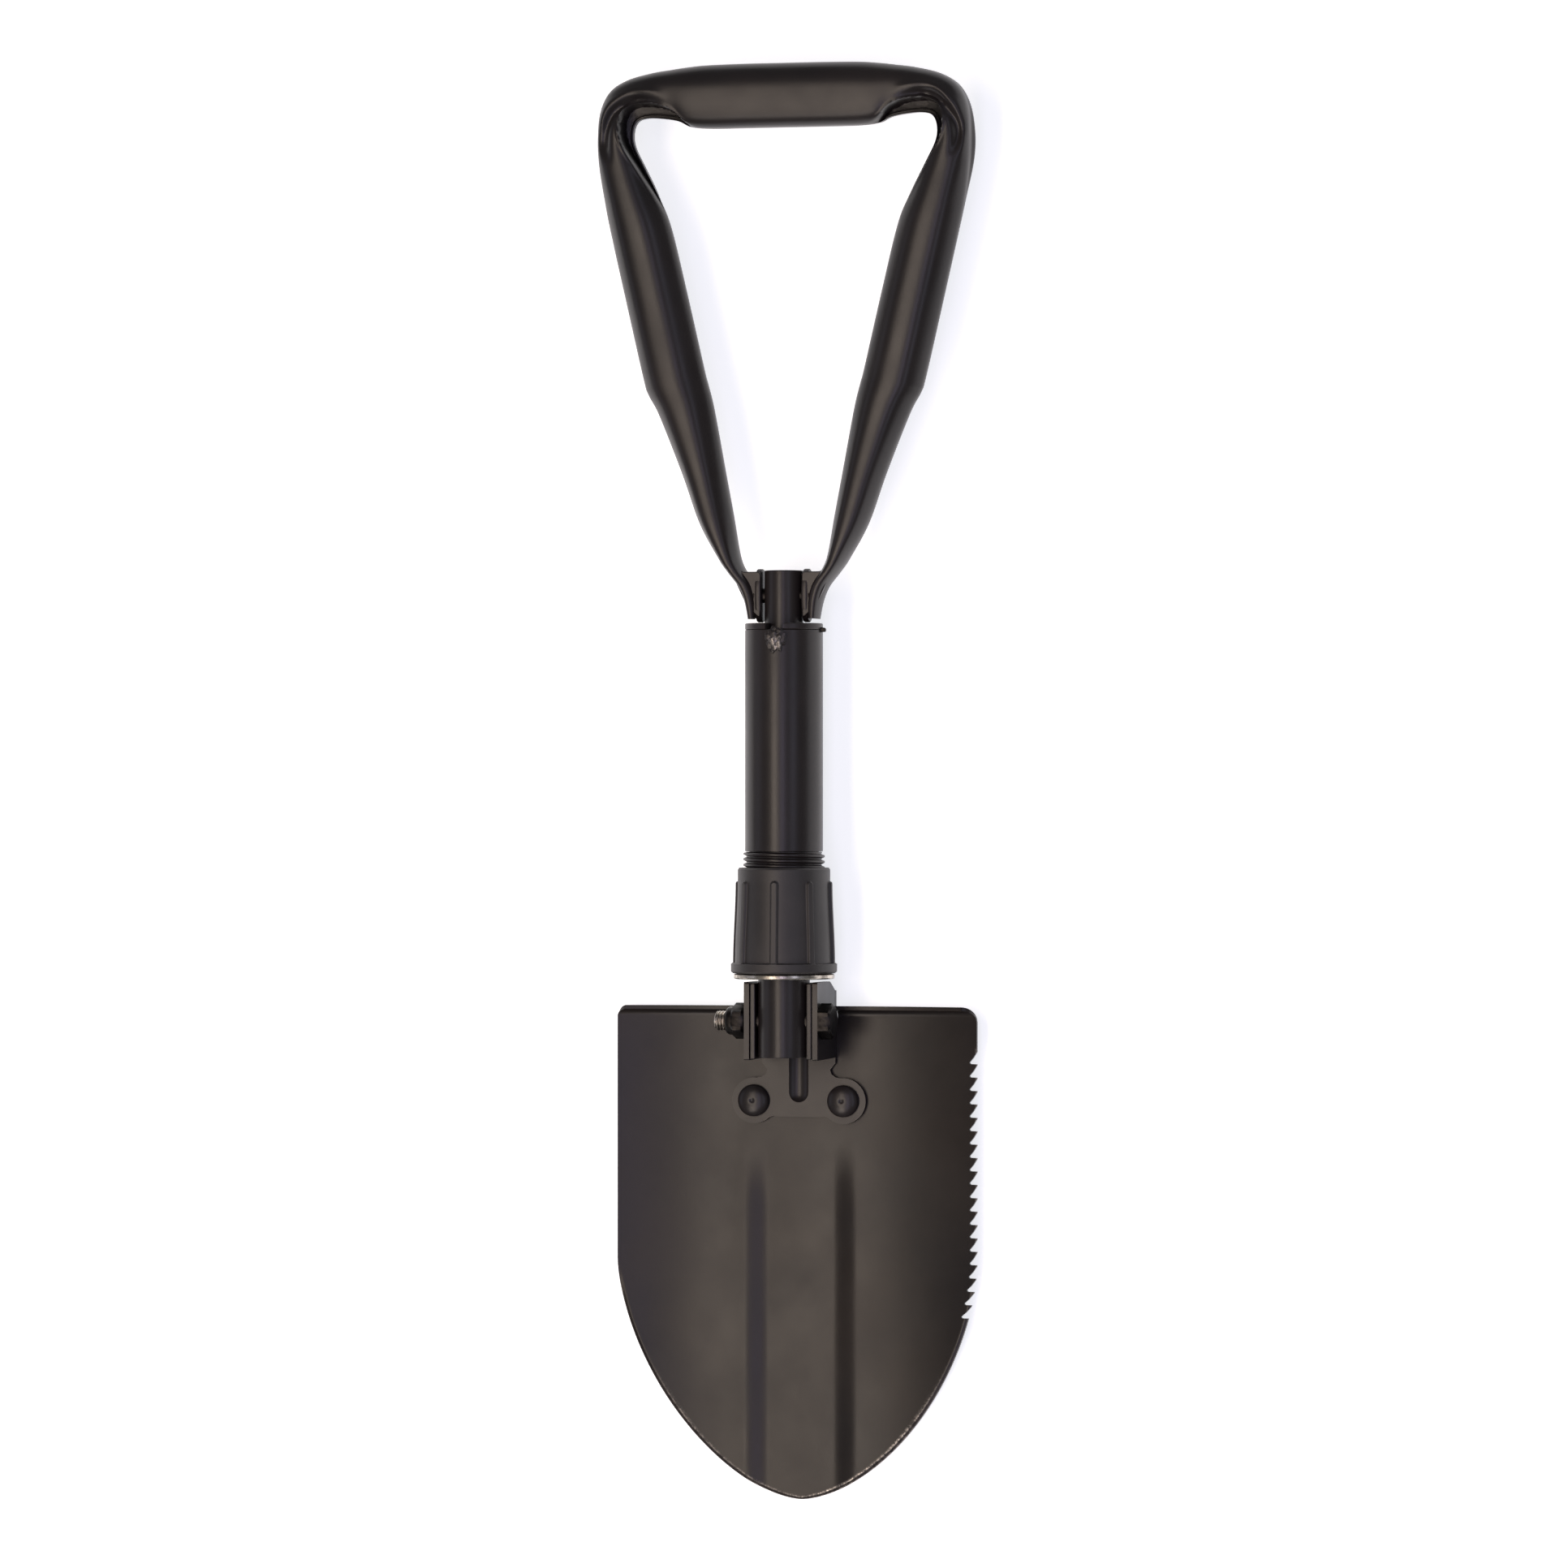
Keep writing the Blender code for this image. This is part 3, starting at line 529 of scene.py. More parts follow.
def make_weld():
    """A lumpy weld bead, its paint cracked and scratched through."""
    centre = (WELD_LOW + WELD_HIGH) / 2
    half = (WELD_HIGH - WELD_LOW) / 2
    bm = bmesh.new()
    bmesh.ops.create_icosphere(bm, subdivisions=5, radius=1.0)
    for v in bm.verts:
        lump = 1 + 0.35 * noise.noise(v.co * 2.3) + 0.10 * noise.noise(v.co * 8)
        shape = Vector((v.co.x * 3.9, v.co.y * half.y * 1.15, v.co.z * 1.6)) * lump
        v.co = shape + Vector((centre.x, centre.y, TUBE_R - 0.1))
    bead = place(bm, "weld_paint", PAINT, "shaft", "weld_bead", angle=80)
    set_wear(bead, weld_wear)


def weld_wear(point):
    """Bare on the bead's crown, painted where it runs under the end ring."""
    crown = smooth_step(point.z, TUBE_R + 0.6, TUBE_R + 1.2)
    return 0.95 * crown * smooth_step(point.y, 60.5, 58.5)


def set_wear(piece, wear_at):
    """Stores how worn the paint is, 0 to 1, at each point of a piece."""
    layer = piece.data.attributes.new("wear", "FLOAT", "POINT")
    axis = Vector((0, 0, AXIS_Z))
    for vertex, item in zip(piece.data.vertices, layer.data):
        item.value = wear_at(vertex.co / MM - axis)


def make_fork():
    """The inner pair of cheeks, bent from one strip round the back of the shaft."""
    x1, z0 = FORK_HIGH.x, FORK_LOW.z
    x0, z1 = x1 - FORK_SHEET, z0 + FORK_SHEET
    top = FORK_HIGH.z
    outside = [(x1 - 2.6, z0), (x1, z0 + 2.6), (x1, top)]
    inside = [(x0, top), (x0, z0 + 3.0), (x0 - 1.0, z1)]
    outline = [(-x, z) for x, z in reversed(outside)] + outside
    outline += inside + [(-x, z) for x, z in reversed(inside)]
    bm = bmesh.new()
    prism(bm, outline, FORK_LOW.y, FORK_HIGH.y, axis="y")
    fork = place(bm, "fork_paint", PAINT, "shaft", "hinge_fork")
    combine(fork, cross_hole("fork_hole", BOLT_HOLE_R, BOLT_Y), "DIFFERENCE")
    round_edges(fork, 0.45, 3)


# ---- lock collar and washer -------------------------------------------------------------------------


def make_collar_pieces():
    low, high = COLLAR_LOW.y, COLLAR_HIGH.y
    flange = COLLAR_HIGH.x
    base = flange - 1.7
    mouth = base - 1.4
    flange_y = low + 4.0
    rib_top = high - 5.6

    def wall_at(y):
        r = mouth + 0.3 + (base - mouth - 0.3) * smooth_step(y, rib_top, flange_y)
        r -= 0.5 * smooth_step(y, high - 0.9, high)
        r += (flange - base) * smooth_step(y, flange_y + 0.35, flange_y - 0.15)
        return r - 0.8 * smooth_step(y, low + 0.8, low)

    def radius_at(y, angle):
        r = wall_at(y)
        part = ((angle - RIB_TURN) / (2 * math.pi) * RIB_COUNT + 0.5) % 1 - 0.5
        aside = part * 2 * math.pi * r / RIB_COUNT
        past_top = max(y - (rib_top - 1.3), 0.0)
        reach = math.hypot(aside, past_top)
        rib = 1.15 * smooth_step(reach, 1.75, 0.95) * smooth_step(y, flange_y - 0.2, flange_y + 0.3)
        return r + rib

    rows = spread(low, low + 1.0, 0.2) + spread(low + 1.3, flange_y - 0.3, 0.6)
    rows += spread(flange_y - 0.15, flange_y + 0.45, 0.12) + spread(flange_y + 0.8, rib_top - 3, 0.9)
    rows += spread(rib_top - 2.6, rib_top + 0.6, 0.16) + spread(rib_top + 1.0, high - 1.2, 0.5)
    rows += spread(high - 0.9, high, 0.18)
    bm = bmesh.new()
    height_ring(bm, radius_at, rows, 720, COLLAR_BORE_R)
    place(bm, "collar_plastic_shell", PLASTIC, "collar", "lock_collar", angle=70)
    foot = tube(17.6, SHAFT_HIGH.x + 0.7, low + 0.05, low + 3.3, 0.2)
    turned("collar_foot", foot, PLASTIC, "collar", segments=96)
    washer = tube(WASHER_HIGH.x, SHAFT_HIGH.x + 0.4, WASHER_LOW.y, WASHER_HIGH.y, 0.7)
    turned("washer_steel", washer, STEEL, "washer", "pressure_washer", segments=128)


# ---- blade and its hinge bracket ----------------------------------------------------------------------


def blade_half_width(y):
    """Straight sides down to the shoulder, then a pointed round."""
    if y >= SHOULDER_Y:
        return BLADE_HALF_WIDTH
    share = (SHOULDER_Y - y) / (SHOULDER_Y - BLADE_LOW.y)
    return BLADE_HALF_WIDTH * (1 - min(share, 0.9999) ** TIP_TAPER) ** TIP_BLUNTNESS


def edge_distance(x, y):
    """How far a point of the blade is from its side or its pointed end."""
    if y >= SHOULDER_Y:
        return BLADE_HALF_WIDTH - abs(x)
    half = blade_half_width(y)
    slope = (blade_half_width(y + 0.2) - half) / 0.2
    return max(half - abs(x), 0.0) / math.hypot(1.0, slope)


def corner_loss(y, radius):
    """How much a round top corner takes off the half width."""
    depth = y - (BLADE_HIGH.y - radius)
    if depth <= 0:
        return 0.0
    return radius - math.sqrt(max(radius * radius - depth * depth, 0.0))


def blade_height(x, y):
    """The front face: sides that rise, a sunk channel, and the faint unevenness of a pressing."""
    side = SIDE_RISE * max(abs(x) - CHANNEL_OUTER_X, 0.0) ** 2
    across = 1 - smooth_step(abs(x), CHANNEL_INNER_X, CHANNEL_OUTER_X)
    along = 1 - smooth_step(y, *CHANNEL_FADE_Y)
    ground = -0.55 * smooth_step(edge_distance(x, y), EDGE_GRIND, 0.0) * smooth_step(y, -196, -215)
    uneven = 0.22 * noise.noise(Vector((x / 38, y / 52, 3.1))) * smooth_step(abs(y + 135), 22, 40)
    return BLADE_FRONT_Z + side - CHANNEL_DEPTH * across * along + uneven + ground


def blade_rows():
    """Places along the blade as (y, lift, tilt): the sheet, then the lip that turns up."""
    steps = 64
    rows = []
    for k in range(steps):
        share = math.sin(math.pi / 2 * (1 - k / steps))
        rows.append((SHOULDER_Y - share * (SHOULDER_Y - BLADE_LOW.y), 0.0, 0.0))
    sheet_end = BLADE_HIGH.y - LIP_R - BLADE_SHEET
    rows += [(y, 0.0, 0.0) for y in spread(SHOULDER_Y, sheet_end, 1.6)]
    for k in range(1, 11):
        tilt = math.radians(8.5 * k)
        y = sheet_end + LIP_R * math.sin(tilt)
        rows.append((y, LIP_R * (1 - math.cos(tilt)), tilt))
    rows.append((y, rows[-1][1] + LIP_HEIGHT, tilt))
    return rows


def blade_columns(left, right):
    """Places across the blade, close together over the channel's walls and at the rims."""
    columns = []
    for sign, edge in ((-1, left), (1, right)):
        scale = min(1.0, edge / (CHANNEL_OUTER_X + 8))
        walls = spread(0, CHANNEL_INNER_X - 0.8, 2.9) + spread(CHANNEL_INNER_X, CHANNEL_OUTER_X, 0.6)
        walls = [x * scale for x in walls]
        rim = min(2.4, (edge - walls[-1]) / 3)
        out = [walls[-1] + (edge - walls[-1] - rim) * k / 20 for k in range(1, 21)]
        out += [edge - rim * share for share in (0.75, 0.55, 0.38, 0.2, 0.0)]
        columns += [sign * x for x in (walls + out)[0 if sign < 0 else 1:]]
    return sorted(columns)


def make_blade():
    bm = bmesh.new()
    front, back = [], []
    for y, lift, tilt in blade_rows():
        reach = y + BLADE_SHEET * math.sin(tilt)
        half = blade_half_width(y)
        normal = Vector((0, -math.sin(tilt), math.cos(tilt)))
        upper, lower = [], []
        left = half - corner_loss(reach, CORNER_R_LEFT)
        for x in blade_columns(left, half - corner_loss(reach, CORNER_R_RIGHT)):
            point = Vector((x, y, blade_height(x, y) + lift))
            upper.append(bm.verts.new(point))
            lower.append(bm.verts.new(point - normal * BLADE_SHEET))
        front.append(upper)
        back.append(lower)
    for grid in (front, back):
        for a, b in zip(grid, grid[1:]):
            for k in range(len(a) - 1):
                bm.faces.new((a[k], a[k + 1], b[k + 1], b[k]))
    rims = [(front[0], back[0]), (front[-1], back[-1])]
    rims += [([row[side] for row in front], [row[side] for row in back]) for side in (0, -1)]
    for a, b in rims:
        for k in range(len(a) - 1):
            bm.faces.new((a[k], a[k + 1], b[k + 1], b[k]))
    blade = place(bm, "blade_paint_sheet", BLADE_PAINT, "blade", "blade")
    combine(blade, make_blade_cutter(), "DIFFERENCE")
    set_wear(blade, blade_wear)
    round_edges(blade, 0.32, 2, 50)


def blade_wear(point):
    """Worn along the ground edge, most of all right of the tip; a little on the teeth's points."""
    x, y = point.x, point.y
    distance = edge_distance(x, y)
    line = max(bump(distance, EDGE_GRIND, 0.45), 0.5 * bump(distance, 0.0, 0.4))
    tip = smooth_step(y, -232, -262)
    right = 0.42 + 0.58 * smooth_step(x, -10, 10) * smooth_step(x, 60, 40)
    tooth = 0.5 * smooth_step(x, BLADE_HALF_WIDTH - 1.0, BLADE_HALF_WIDTH - 0.3)
    return max(line * tip * right, tooth * smooth_step(y, -105, -109))


def make_blade_cutter():
    """The saw teeth's gullets on the right edge, and the notch in the top edge for the hinge."""
    bm = bmesh.new()
    reach = 4.0
    for k in range(TOOTH_COUNT):
        top = TOOTH_START_Y - k * TOOTH_PITCH
        foot = top - TOOTH_RAMP_SHARE * TOOTH_PITCH
        edge = blade_half_width(top)
        inner = blade_half_width(foot) - TOOTH_DEPTH
        slope = (top - foot) / (edge - inner)
        bend = 0.5 * (top + foot) - 0.5
        outline = [
            (inner, foot),
            (0.5 * (inner + edge), bend),
            (edge + reach, top + slope * reach),
            (edge + reach, foot - 0.75),
            (inner + 0.5, foot - 0.6),
        ]
        prism(bm, outline, -60, 10)
    half = NOTCH_HALF_WIDTH
    bend = half - NOTCH_CORNER_R
    centre_y = NOTCH_FLOOR_Y + NOTCH_CORNER_R
    outline = [(-half, -60), (half, -60)] + arc(bend, centre_y, NOTCH_CORNER_R, 0, -90, 6)
    outline += arc(-bend, centre_y, NOTCH_CORNER_R, -90, -180, 6)
    prism(bm, outline, -60, 10)
    return place(bm, "blade_cutter", None, None)


def base_plate_outline():
    """The riveted plate: a neck, two round lobes and a straight lower edge."""
    top = BOLT_Y + 12.0
    neck = EAR_INNER_X + 2.2
    lobe = BRACKET_HIGH.x - RIVET_X
    right = [(neck, top), (neck, RIVET_Y + 15.4)]
    right += [(neck - 2.2, RIVET_Y + 12.8), (neck - 1.6, RIVET_Y + 10.9), (neck + 0.4, RIVET_Y + 9.6)]
    right += arc(RIVET_X, RIVET_Y, lobe, 96, -132, 40)
    right += [(RIVET_X - 8.0, RIVET_Y - lobe + 3.1), (RIVET_X - 9.8, RIVET_Y - lobe + 2.8)]
    return right + [(-x, y) for x, y in reversed(right)]


def make_bracket():
    """The hinge bracket: the riveted plate, its pressed groove, and two ears that stand up."""
    bm = bmesh.new()
    prism(bm, base_plate_outline(), PLATE_FRONT_Z - PLATE_SHEET, PLATE_FRONT_Z)
    bracket = place(bm, "bracket_paint", PAINT, "blade", "hinge_bracket")
    top, low, front = BRACKET_HIGH.y, BOLT_Y - (BRACKET_HIGH.y - BOLT_Y), BRACKET_HIGH.z
    root = PLATE_FRONT_Z - 1.2
    corners = [(low, front), (top, front), (top, -15.0), (BOLT_Y + 11.6, root), (low + 0.4, root)]
    outline = rounded(corners, 1.0, 4)
    for side in (-1, 1):
        bm = bmesh.new()
        faces = sorted((side * EAR_INNER_X, side * (EAR_INNER_X + EAR_SHEET)))
        prism(bm, outline, *faces, axis="x")
        combine(bracket, place(bm, "ear", None, None), "UNION")
    bm = bmesh.new()
    groove = [(0, -GROOVE_R)] + [(x, y) for y, x in arc(0, 0, GROOVE_R, 168, 90, 7)]
    groove += [(GROOVE_R, 26), (0, 26)]
    lathe(bm, groove, 40, (0, 1, 0), (0, RIVET_Y + 3.4, PLATE_FRONT_Z + 4.1))
    for side in (-1, 1):
        hole = rod(RIVET_SHANK_R + 0.3, -4.5, 4.5)
        lathe(bm, hole, 32, (0, 0, 1), (side * RIVET_X, RIVET_Y, PLATE_FRONT_Z))
    combine(bracket, place(bm, "bracket_cutter", None, None), "DIFFERENCE")
    combine(bracket, cross_hole("bracket_hole", BOLT_HOLE_R, BOLT_Y), "DIFFERENCE")
    round_edges(bracket, 0.42, 3)


def make_rivets():
    """Dome-headed rivets with the set's small dimple in the middle."""
    for name, side in (("rivet_left", -1), ("rivet_right", 1)):
        r = RIVET_HEAD_R
        dome = [(r - 0.35, 0.05), (r, 0.35), (r - 0.05, 0.9)]
        dome += [(r * math.cos(a) ** 0.9, 0.9 + 3.1 * math.sin(a)) for a in spread(0.15, 1.38, 0.1)]
        dome += [(0.9, 3.9), (0.55, 3.65), (0, 3.5)]
        back = RIVET_LOW.z - PLATE_FRONT_Z
        outline = [(0, back), (3.8, back), (4.7, back + 0.5), (5.0, back + 1.2)]
        outline += [(RIVET_SHANK_R, back + 1.4), (RIVET_SHANK_R, 0.05)]
        turned(f"{name}_paint", outline + dome, PAINT, "blade", name, segments=72,
               along=(0, 0, 1), at=(side * RIVET_X, RIVET_Y, PLATE_FRONT_Z))


def hex_piece(bm, low, high, chamfer_low):
    """A nut's hexagon along X, its high end, and its low end too if asked, turned to a cone."""
    corner = ACROSS_FLATS / math.sqrt(3)
    flat = ACROSS_FLATS / 2
    rings = []
    for x, cut in ((low, chamfer_low), (low + 0.9, False), (high - 0.9, False), (high, True)):
        ring = []
        for k in range(96):
            angle = 2 * math.pi * k / 96
            part = (angle + math.pi / 6) % (math.pi / 3) - math.pi / 6
            reach = min(flat / math.cos(math.pi / 6 - abs(part)), corner * 0.985)
            if cut:
                reach = min(reach, flat * 0.97)
            ring.append(bm.verts.new((x, BOLT_Y + reach * math.cos(angle), reach * math.sin(angle))))
        rings.append(ring)
    loft(bm, rings)


def make_bolt():
    """The pivot bolt: a chamfered hexagon head, a plain shank, and a cut thread beyond the nut."""
    face = BOLT_HIGH.x - BOLT_HEAD_HEIGHT
    bm = bmesh.new()
    hex_piece(bm, face, BOLT_HIGH.x, False)
    place(bm, "bolt_head", DARK_STEEL, "blade", "pivot_bolt", angle=25)
    bm = bmesh.new()
    rings = []
    for x in spread(BOLT_LOW.x, NUT_LOW.x + 2.0, 0.12):
        ring = []
        for k in range(48):
            angle = 2 * math.pi * k / 48
            r = 3.3 + 0.7 * thread_wave(x / BOLT_PITCH + k / 48)
            r -= 0.9 * smooth_step(x, BOLT_LOW.x + 0.9, BOLT_LOW.x)
            ring.append(bm.verts.new((x, BOLT_Y + r * math.cos(angle), r * math.sin(angle))))
        rings.append(ring)
    loft(bm, rings)
    place(bm, "bolt_thread", STEEL, "blade", angle=60)
    shank = rounded(rod(BOLT_R, NUT_LOW.x + 1.9, face + 0.2), 0.1, 1)
    turned("bolt_shank", shank, DARK_STEEL, "blade", segments=48, along=(1, 0, 0), at=(0, BOLT_Y, 0))


def make_nut():
    """A lock nut: a chamfered hexagon, and a round collar with its insert on the outer end."""
    bm = bmesh.new()
    hex_piece(bm, NUT_LOW.x + 2.9, NUT_HIGH.x, True)
    place(bm, "nut_hexagon", DARK_STEEL, "blade", "lock_nut", angle=25)
    bm = bmesh.new()
    dome = [(BOLT_HOLE_R, 3.2), (5.75, 3.2), (5.75, 1.2), (5.3, 0.4), (4.7, 0), (4.4, 0.2)]
    dome += [(BOLT_HOLE_R, 0.7)]
    lathe(bm, [(r, NUT_LOW.x + x) for r, x in dome], 64, (1, 0, 0), (0, BOLT_Y, 0))
    place(bm, "nut_collar", DARK_STEEL, "blade")


# ---- handle -------------------------------------------------------------------------------------------

# From the lug to the middle of the grip, on the right: inner edge x and y, outer edge x and y,
# half depth, and how far the front sheet's edge stands back from the inner side.
HANDLE_STATIONS = [
    (10.2, 67.4, 15.0, 67.0, 5.4, 0.0),
    (10.4, 75.0, 16.4, 74.2, 6.6, 0.0),
    (12.2, 81.5, 18.9, 80.2, 7.4, 0.0),
    (16.6, 87.8, 23.4, 86.0, 8.0, 0.0),
    (18.8, 94.0, 27.4, 91.6, 8.8, 0.0),
    (21.1, 108.0, 35.6, 106.0, 9.5, 0.0),
    (24.6, 127.0, 43.0, 126.0, 9.5, 0.0),
    (29.3, 152.5, 52.9, 150.0, 9.5, 0.0),
    (31.9, 163.0, 57.6, 158.6, 9.5, 0.0),
    (33.5, 169.0, 59.7, 165.0, 9.5, 0.0),
    (40.7, 199.7, 66.6, 194.5, 9.5, 0.0),
    (47.2, 226.0, 72.7, 221.0, 9.5, 0.2),
    (51.9, 238.0, 75.8, 236.0, 9.4, 0.8),
    (58.6, 251.0, 77.8, 251.0, 9.0, 2.0),
    (63.1, 260.0, 78.2, 264.0, 8.7, 3.4),
    (63.9, 266.0, 77.0, 275.0, 8.5, 4.6),
    (62.1, 270.6, 72.9, 283.0, 8.5, 5.4),
    (57.6, 272.0, 65.6, 287.6, 8.7, 5.8),
    (50.7, 271.6, 55.4, 290.2, 9.0, 5.2),
    (44.5, 270.4, 47.0, 291.4, 9.3, 3.4),
    (39.4, 268.0, 40.7, 292.2, 9.5, 0.8),
    (31.7, 267.1, 32.3, 292.9, 9.5, 0.0),
    (16.3, 267.0, 16.3, 293.2, 9.5, 0.0),
    (0.0, 267.0, 0.0, 293.2, 9.5, 0.0),
]
HANDLE_WALL = 1.3
SECTION_START, SECTION_TURN = -62, 304
BEND_CENTRE = (58.2, 263.0)
LUG_R = 10.9
LUG_HALF_DEPTH = 5.2
PIN_R = 3.0
PIN_HEAD_R = 4.8
PIN_HEAD_HEIGHT = 1.6
SHOULDER_OUTLINE = [
    (8.9, 67.2), (8.6, 86.3), (17.0, 86.3), (18.9, 90.0),
    (20.4, 96.5), (24.0, 97.0), (21.0, 86.0), (14.4, 72.0),
]


def curve_through(values, share):
    """A Catmull-Rom blend of four neighbouring rows of numbers."""
    blended = []
    for a, b, c, d in zip(*values):
        bend = 2 * a - 5 * b + 4 * c - d
        twist = 3 * b - a - 3 * c + d
        blended.append(0.5 * (2 * b + (c - a) * share + bend * share**2 + twist * share**3))
    return blended


def handle_stations(steps):
    """The stations of the whole handle, right lug to left lug, with steps between each two."""
    mirrored = [(-a, b, -c, d, e, f) for a, b, c, d, e, f in reversed(HANDLE_STATIONS[:-1])]
    rows = HANDLE_STATIONS + mirrored
    fine = []
    for k in range(len(rows) - 1):
        near = [rows[max(k - 1, 0)], rows[k], rows[k + 1], rows[min(k + 2, len(rows) - 1)]]
        fine += [curve_through(near, s / steps) for s in range(steps)]
    return fine + [rows[-1]]


def corner_creases(x, y):
    """Folds in the front sheet round each inner corner, where the tube was bent."""
    side = 1 if x > 0 else -1
    dx, dy = abs(x) - BEND_CENTRE[0], y - BEND_CENTRE[1]
    reach = math.hypot(dx, dy)
    angle = math.degrees(math.atan2(dy, dx))
    window = smooth_step(angle, -38, -8) * smooth_step(angle, 128, 92)
    warp = 0.9 * noise.noise(Vector((x / 11, y / 11, side * 2.0)))
    fold = -1.9 * bump(reach, 15.8 + warp, 1.7) + 0.9 * bump(reach, 19.2 + warp, 2.0)
    fold -= 0.9 * bump(reach, 12.6 - warp, 1.1) * smooth_step(angle, 20, 60)
    dent = -1.5 * bump(angle, 8 if side > 0 else 2, 16) * bump(reach, 18.5, 4.0)
    dent -= 1.1 * bump(angle, 78, 15) * bump(reach, 15.5, 3.2)
    return fold * window + dent


# The arm's section as flats: the direction each one faces, in shares of the half width and the half
# depth, and how far out it stands. The first is the outer side, then round the front to the inner.
ARM_FLATS = [(1, 0, 1), (0.84, 0.54, 0.965), (0, 1, 1), (-0.77, 0.64, 0.95), (-1, 0, 1)]
ARM_FLATS += [(-0.75, -0.66, 1.0), (0, -1, 1), (0.75, -0.66, 1.0)]
FLAT_SHARPNESS = 9


def arm_reach(c, s):
    """How far out the arm's faceted section reaches in a direction."""
    total = sum(max(c * x + s * z, 0.0) ** FLAT_SHARPNESS / out**FLAT_SHARPNESS for x, z, out in ARM_FLATS)
    return total ** (-1 / FLAT_SHARPNESS)


def section_shape(angle, facets):
    """A place on the section, from a soft round (facets 0) to the arms' flats (facets 1)."""
    c, s = math.cos(angle), math.sin(angle)
    reach = arm_reach(c, s)
    soft = (math.copysign(abs(c) ** 0.8, c), math.copysign(abs(s) ** 0.8, s))
    return tuple(a + (b * reach - a) * facets for a, b in zip(soft, (c, s)))


def channel_section(station, count=92):
    """A ring of points: the rounded outside of the channel, then its inside, open at the back."""
    inner_x, inner_y, outer_x, outer_y, depth, opening = station
    inner, outer = Vector((inner_x, inner_y, 0)), Vector((outer_x, outer_y, 0))
    middle = (inner + outer) / 2
    across = (outer - inner).normalized()
    half = (outer - inner).length / 2
    facets = smooth_step(middle.y, 262, 236)
    flare = 1.5 * bump(outer_y, 258, 19) * smooth_step(abs(outer_x), 66, 74)
    points = []
    for wall, order in ((0.0, 1), (HANDLE_WALL, -1)):
        ring = []
        for k in range(count):
            angle = math.radians(SECTION_START + SECTION_TURN * k / (count - 1))
            u, z = section_shape(angle, facets)
            u, z = u * (half - wall), z * (depth - wall)
            u += flare * smooth_step(z, -0.5, -4.0) * smooth_step(u, 0, half)
            point = middle + across * u + Vector((0, 0, z))
            if z > 0:
                front = smooth_step(z / depth, 0.3, 0.85)
                point.z += corner_creases(point.x, point.y) * front
                point.z = fold_under(point.z, u + half, opening, depth)
            ring.append(point)
        points += ring[::order]
    return points


def fold_under(z, from_inner, opening, depth):
    """Drops the front sheet to the back sheet's level beyond the seam that has come open."""
    if opening <= 0.05:
        return z
    strength = smooth_step(opening, 0.1, 1.6)
    beyond = smooth_step(from_inner, opening + 0.35, opening - 0.45)
    edge = 0.45 * bump(from_inner, opening + 0.8, 0.6)
    ledge = -0.35 * depth + 0.25 * from_inner
    return (z + edge * strength) * (1 - beyond * strength) + min(ledge, z) * beyond * strength


def make_lug(bm, side):
    """One flat ear beside the stub, round-cornered, that the arm's front sheet runs over."""
    levels = [(8.6, 0.93), (8.7, 0.98), (9.0, 1.0), (10.6, 1.0), (10.9, 0.98), (11.0, 0.93)]
    rings = []
    for x, share in levels:
        ring = []
        for k in range(72):
            angle = 2 * math.pi * k / 72
            c, s = math.cos(angle), math.sin(angle)
            y = LUG_R * share * math.copysign(abs(c) ** 0.8, c)
            z = LUG_HALF_DEPTH * share * math.copysign(abs(s) ** 0.8, s)
            shrink = min(1.0, LUG_R * share / max(math.hypot(y, z), 0.01))
            ring.append(bm.verts.new((side * x, PIVOT_Y + y * shrink, z * shrink)))
        rings.append(ring)
    loft(bm, rings)


def make_shoulder(bm, side):
    """The sheet that joins the ear's top to the arm's inner side, as a shallow web."""
    prism(bm, [(side * x, y) for x, y in rounded(SHOULDER_OUTLINE, 1.6, 4)], -2.2, 4.7)


def make_handle():
    bm = bmesh.new()
    rings = [[bm.verts.new(p) for p in channel_section(s)] for s in handle_stations(7)]
    loft(bm, rings)
    place(bm, "handle_paint", PAINT, "handle", "handle_frame", angle=50)
    for name, side in (("right", 1), ("left", -1)):
        bm = bmesh.new()
        make_lug(bm, side)
        place(bm, f"lug_{name}", PAINT, "handle", angle=50)
        bm = bmesh.new()
        make_shoulder(bm, side)
        place(bm, f"shoulder_{name}", PAINT, "handle", bevel=0.5)
    make_pivot_rivet()


def make_pivot_rivet():
    seat = (PIN_HIGH.x - PIN_LOW.x) / 2 - PIN_HEAD_HEIGHT
    head = seat + PIN_HEAD_HEIGHT
    half = [(PIN_R, seat), (PIN_HEAD_R, seat), (PIN_HEAD_R, seat + 0.5), (3.9, head - 0.3)]
    half += [(2.6, head), (0, head)]
    outline = [(r, -d) for r, d in reversed(half)] + half
    turned("pivot_rivet_steel", outline, DARK_STEEL, "shaft", "handle_pivot_rivet",
           segments=48, along=(1, 0, 0), at=(0, PIVOT_Y, 0))


# ---- floor, light and camera ------------------------------------------------------------------------------

CAMERA_TILT = math.radians(15)
CAMERA_REACH = 3.2
VIEW_WIDTH = 0.6376


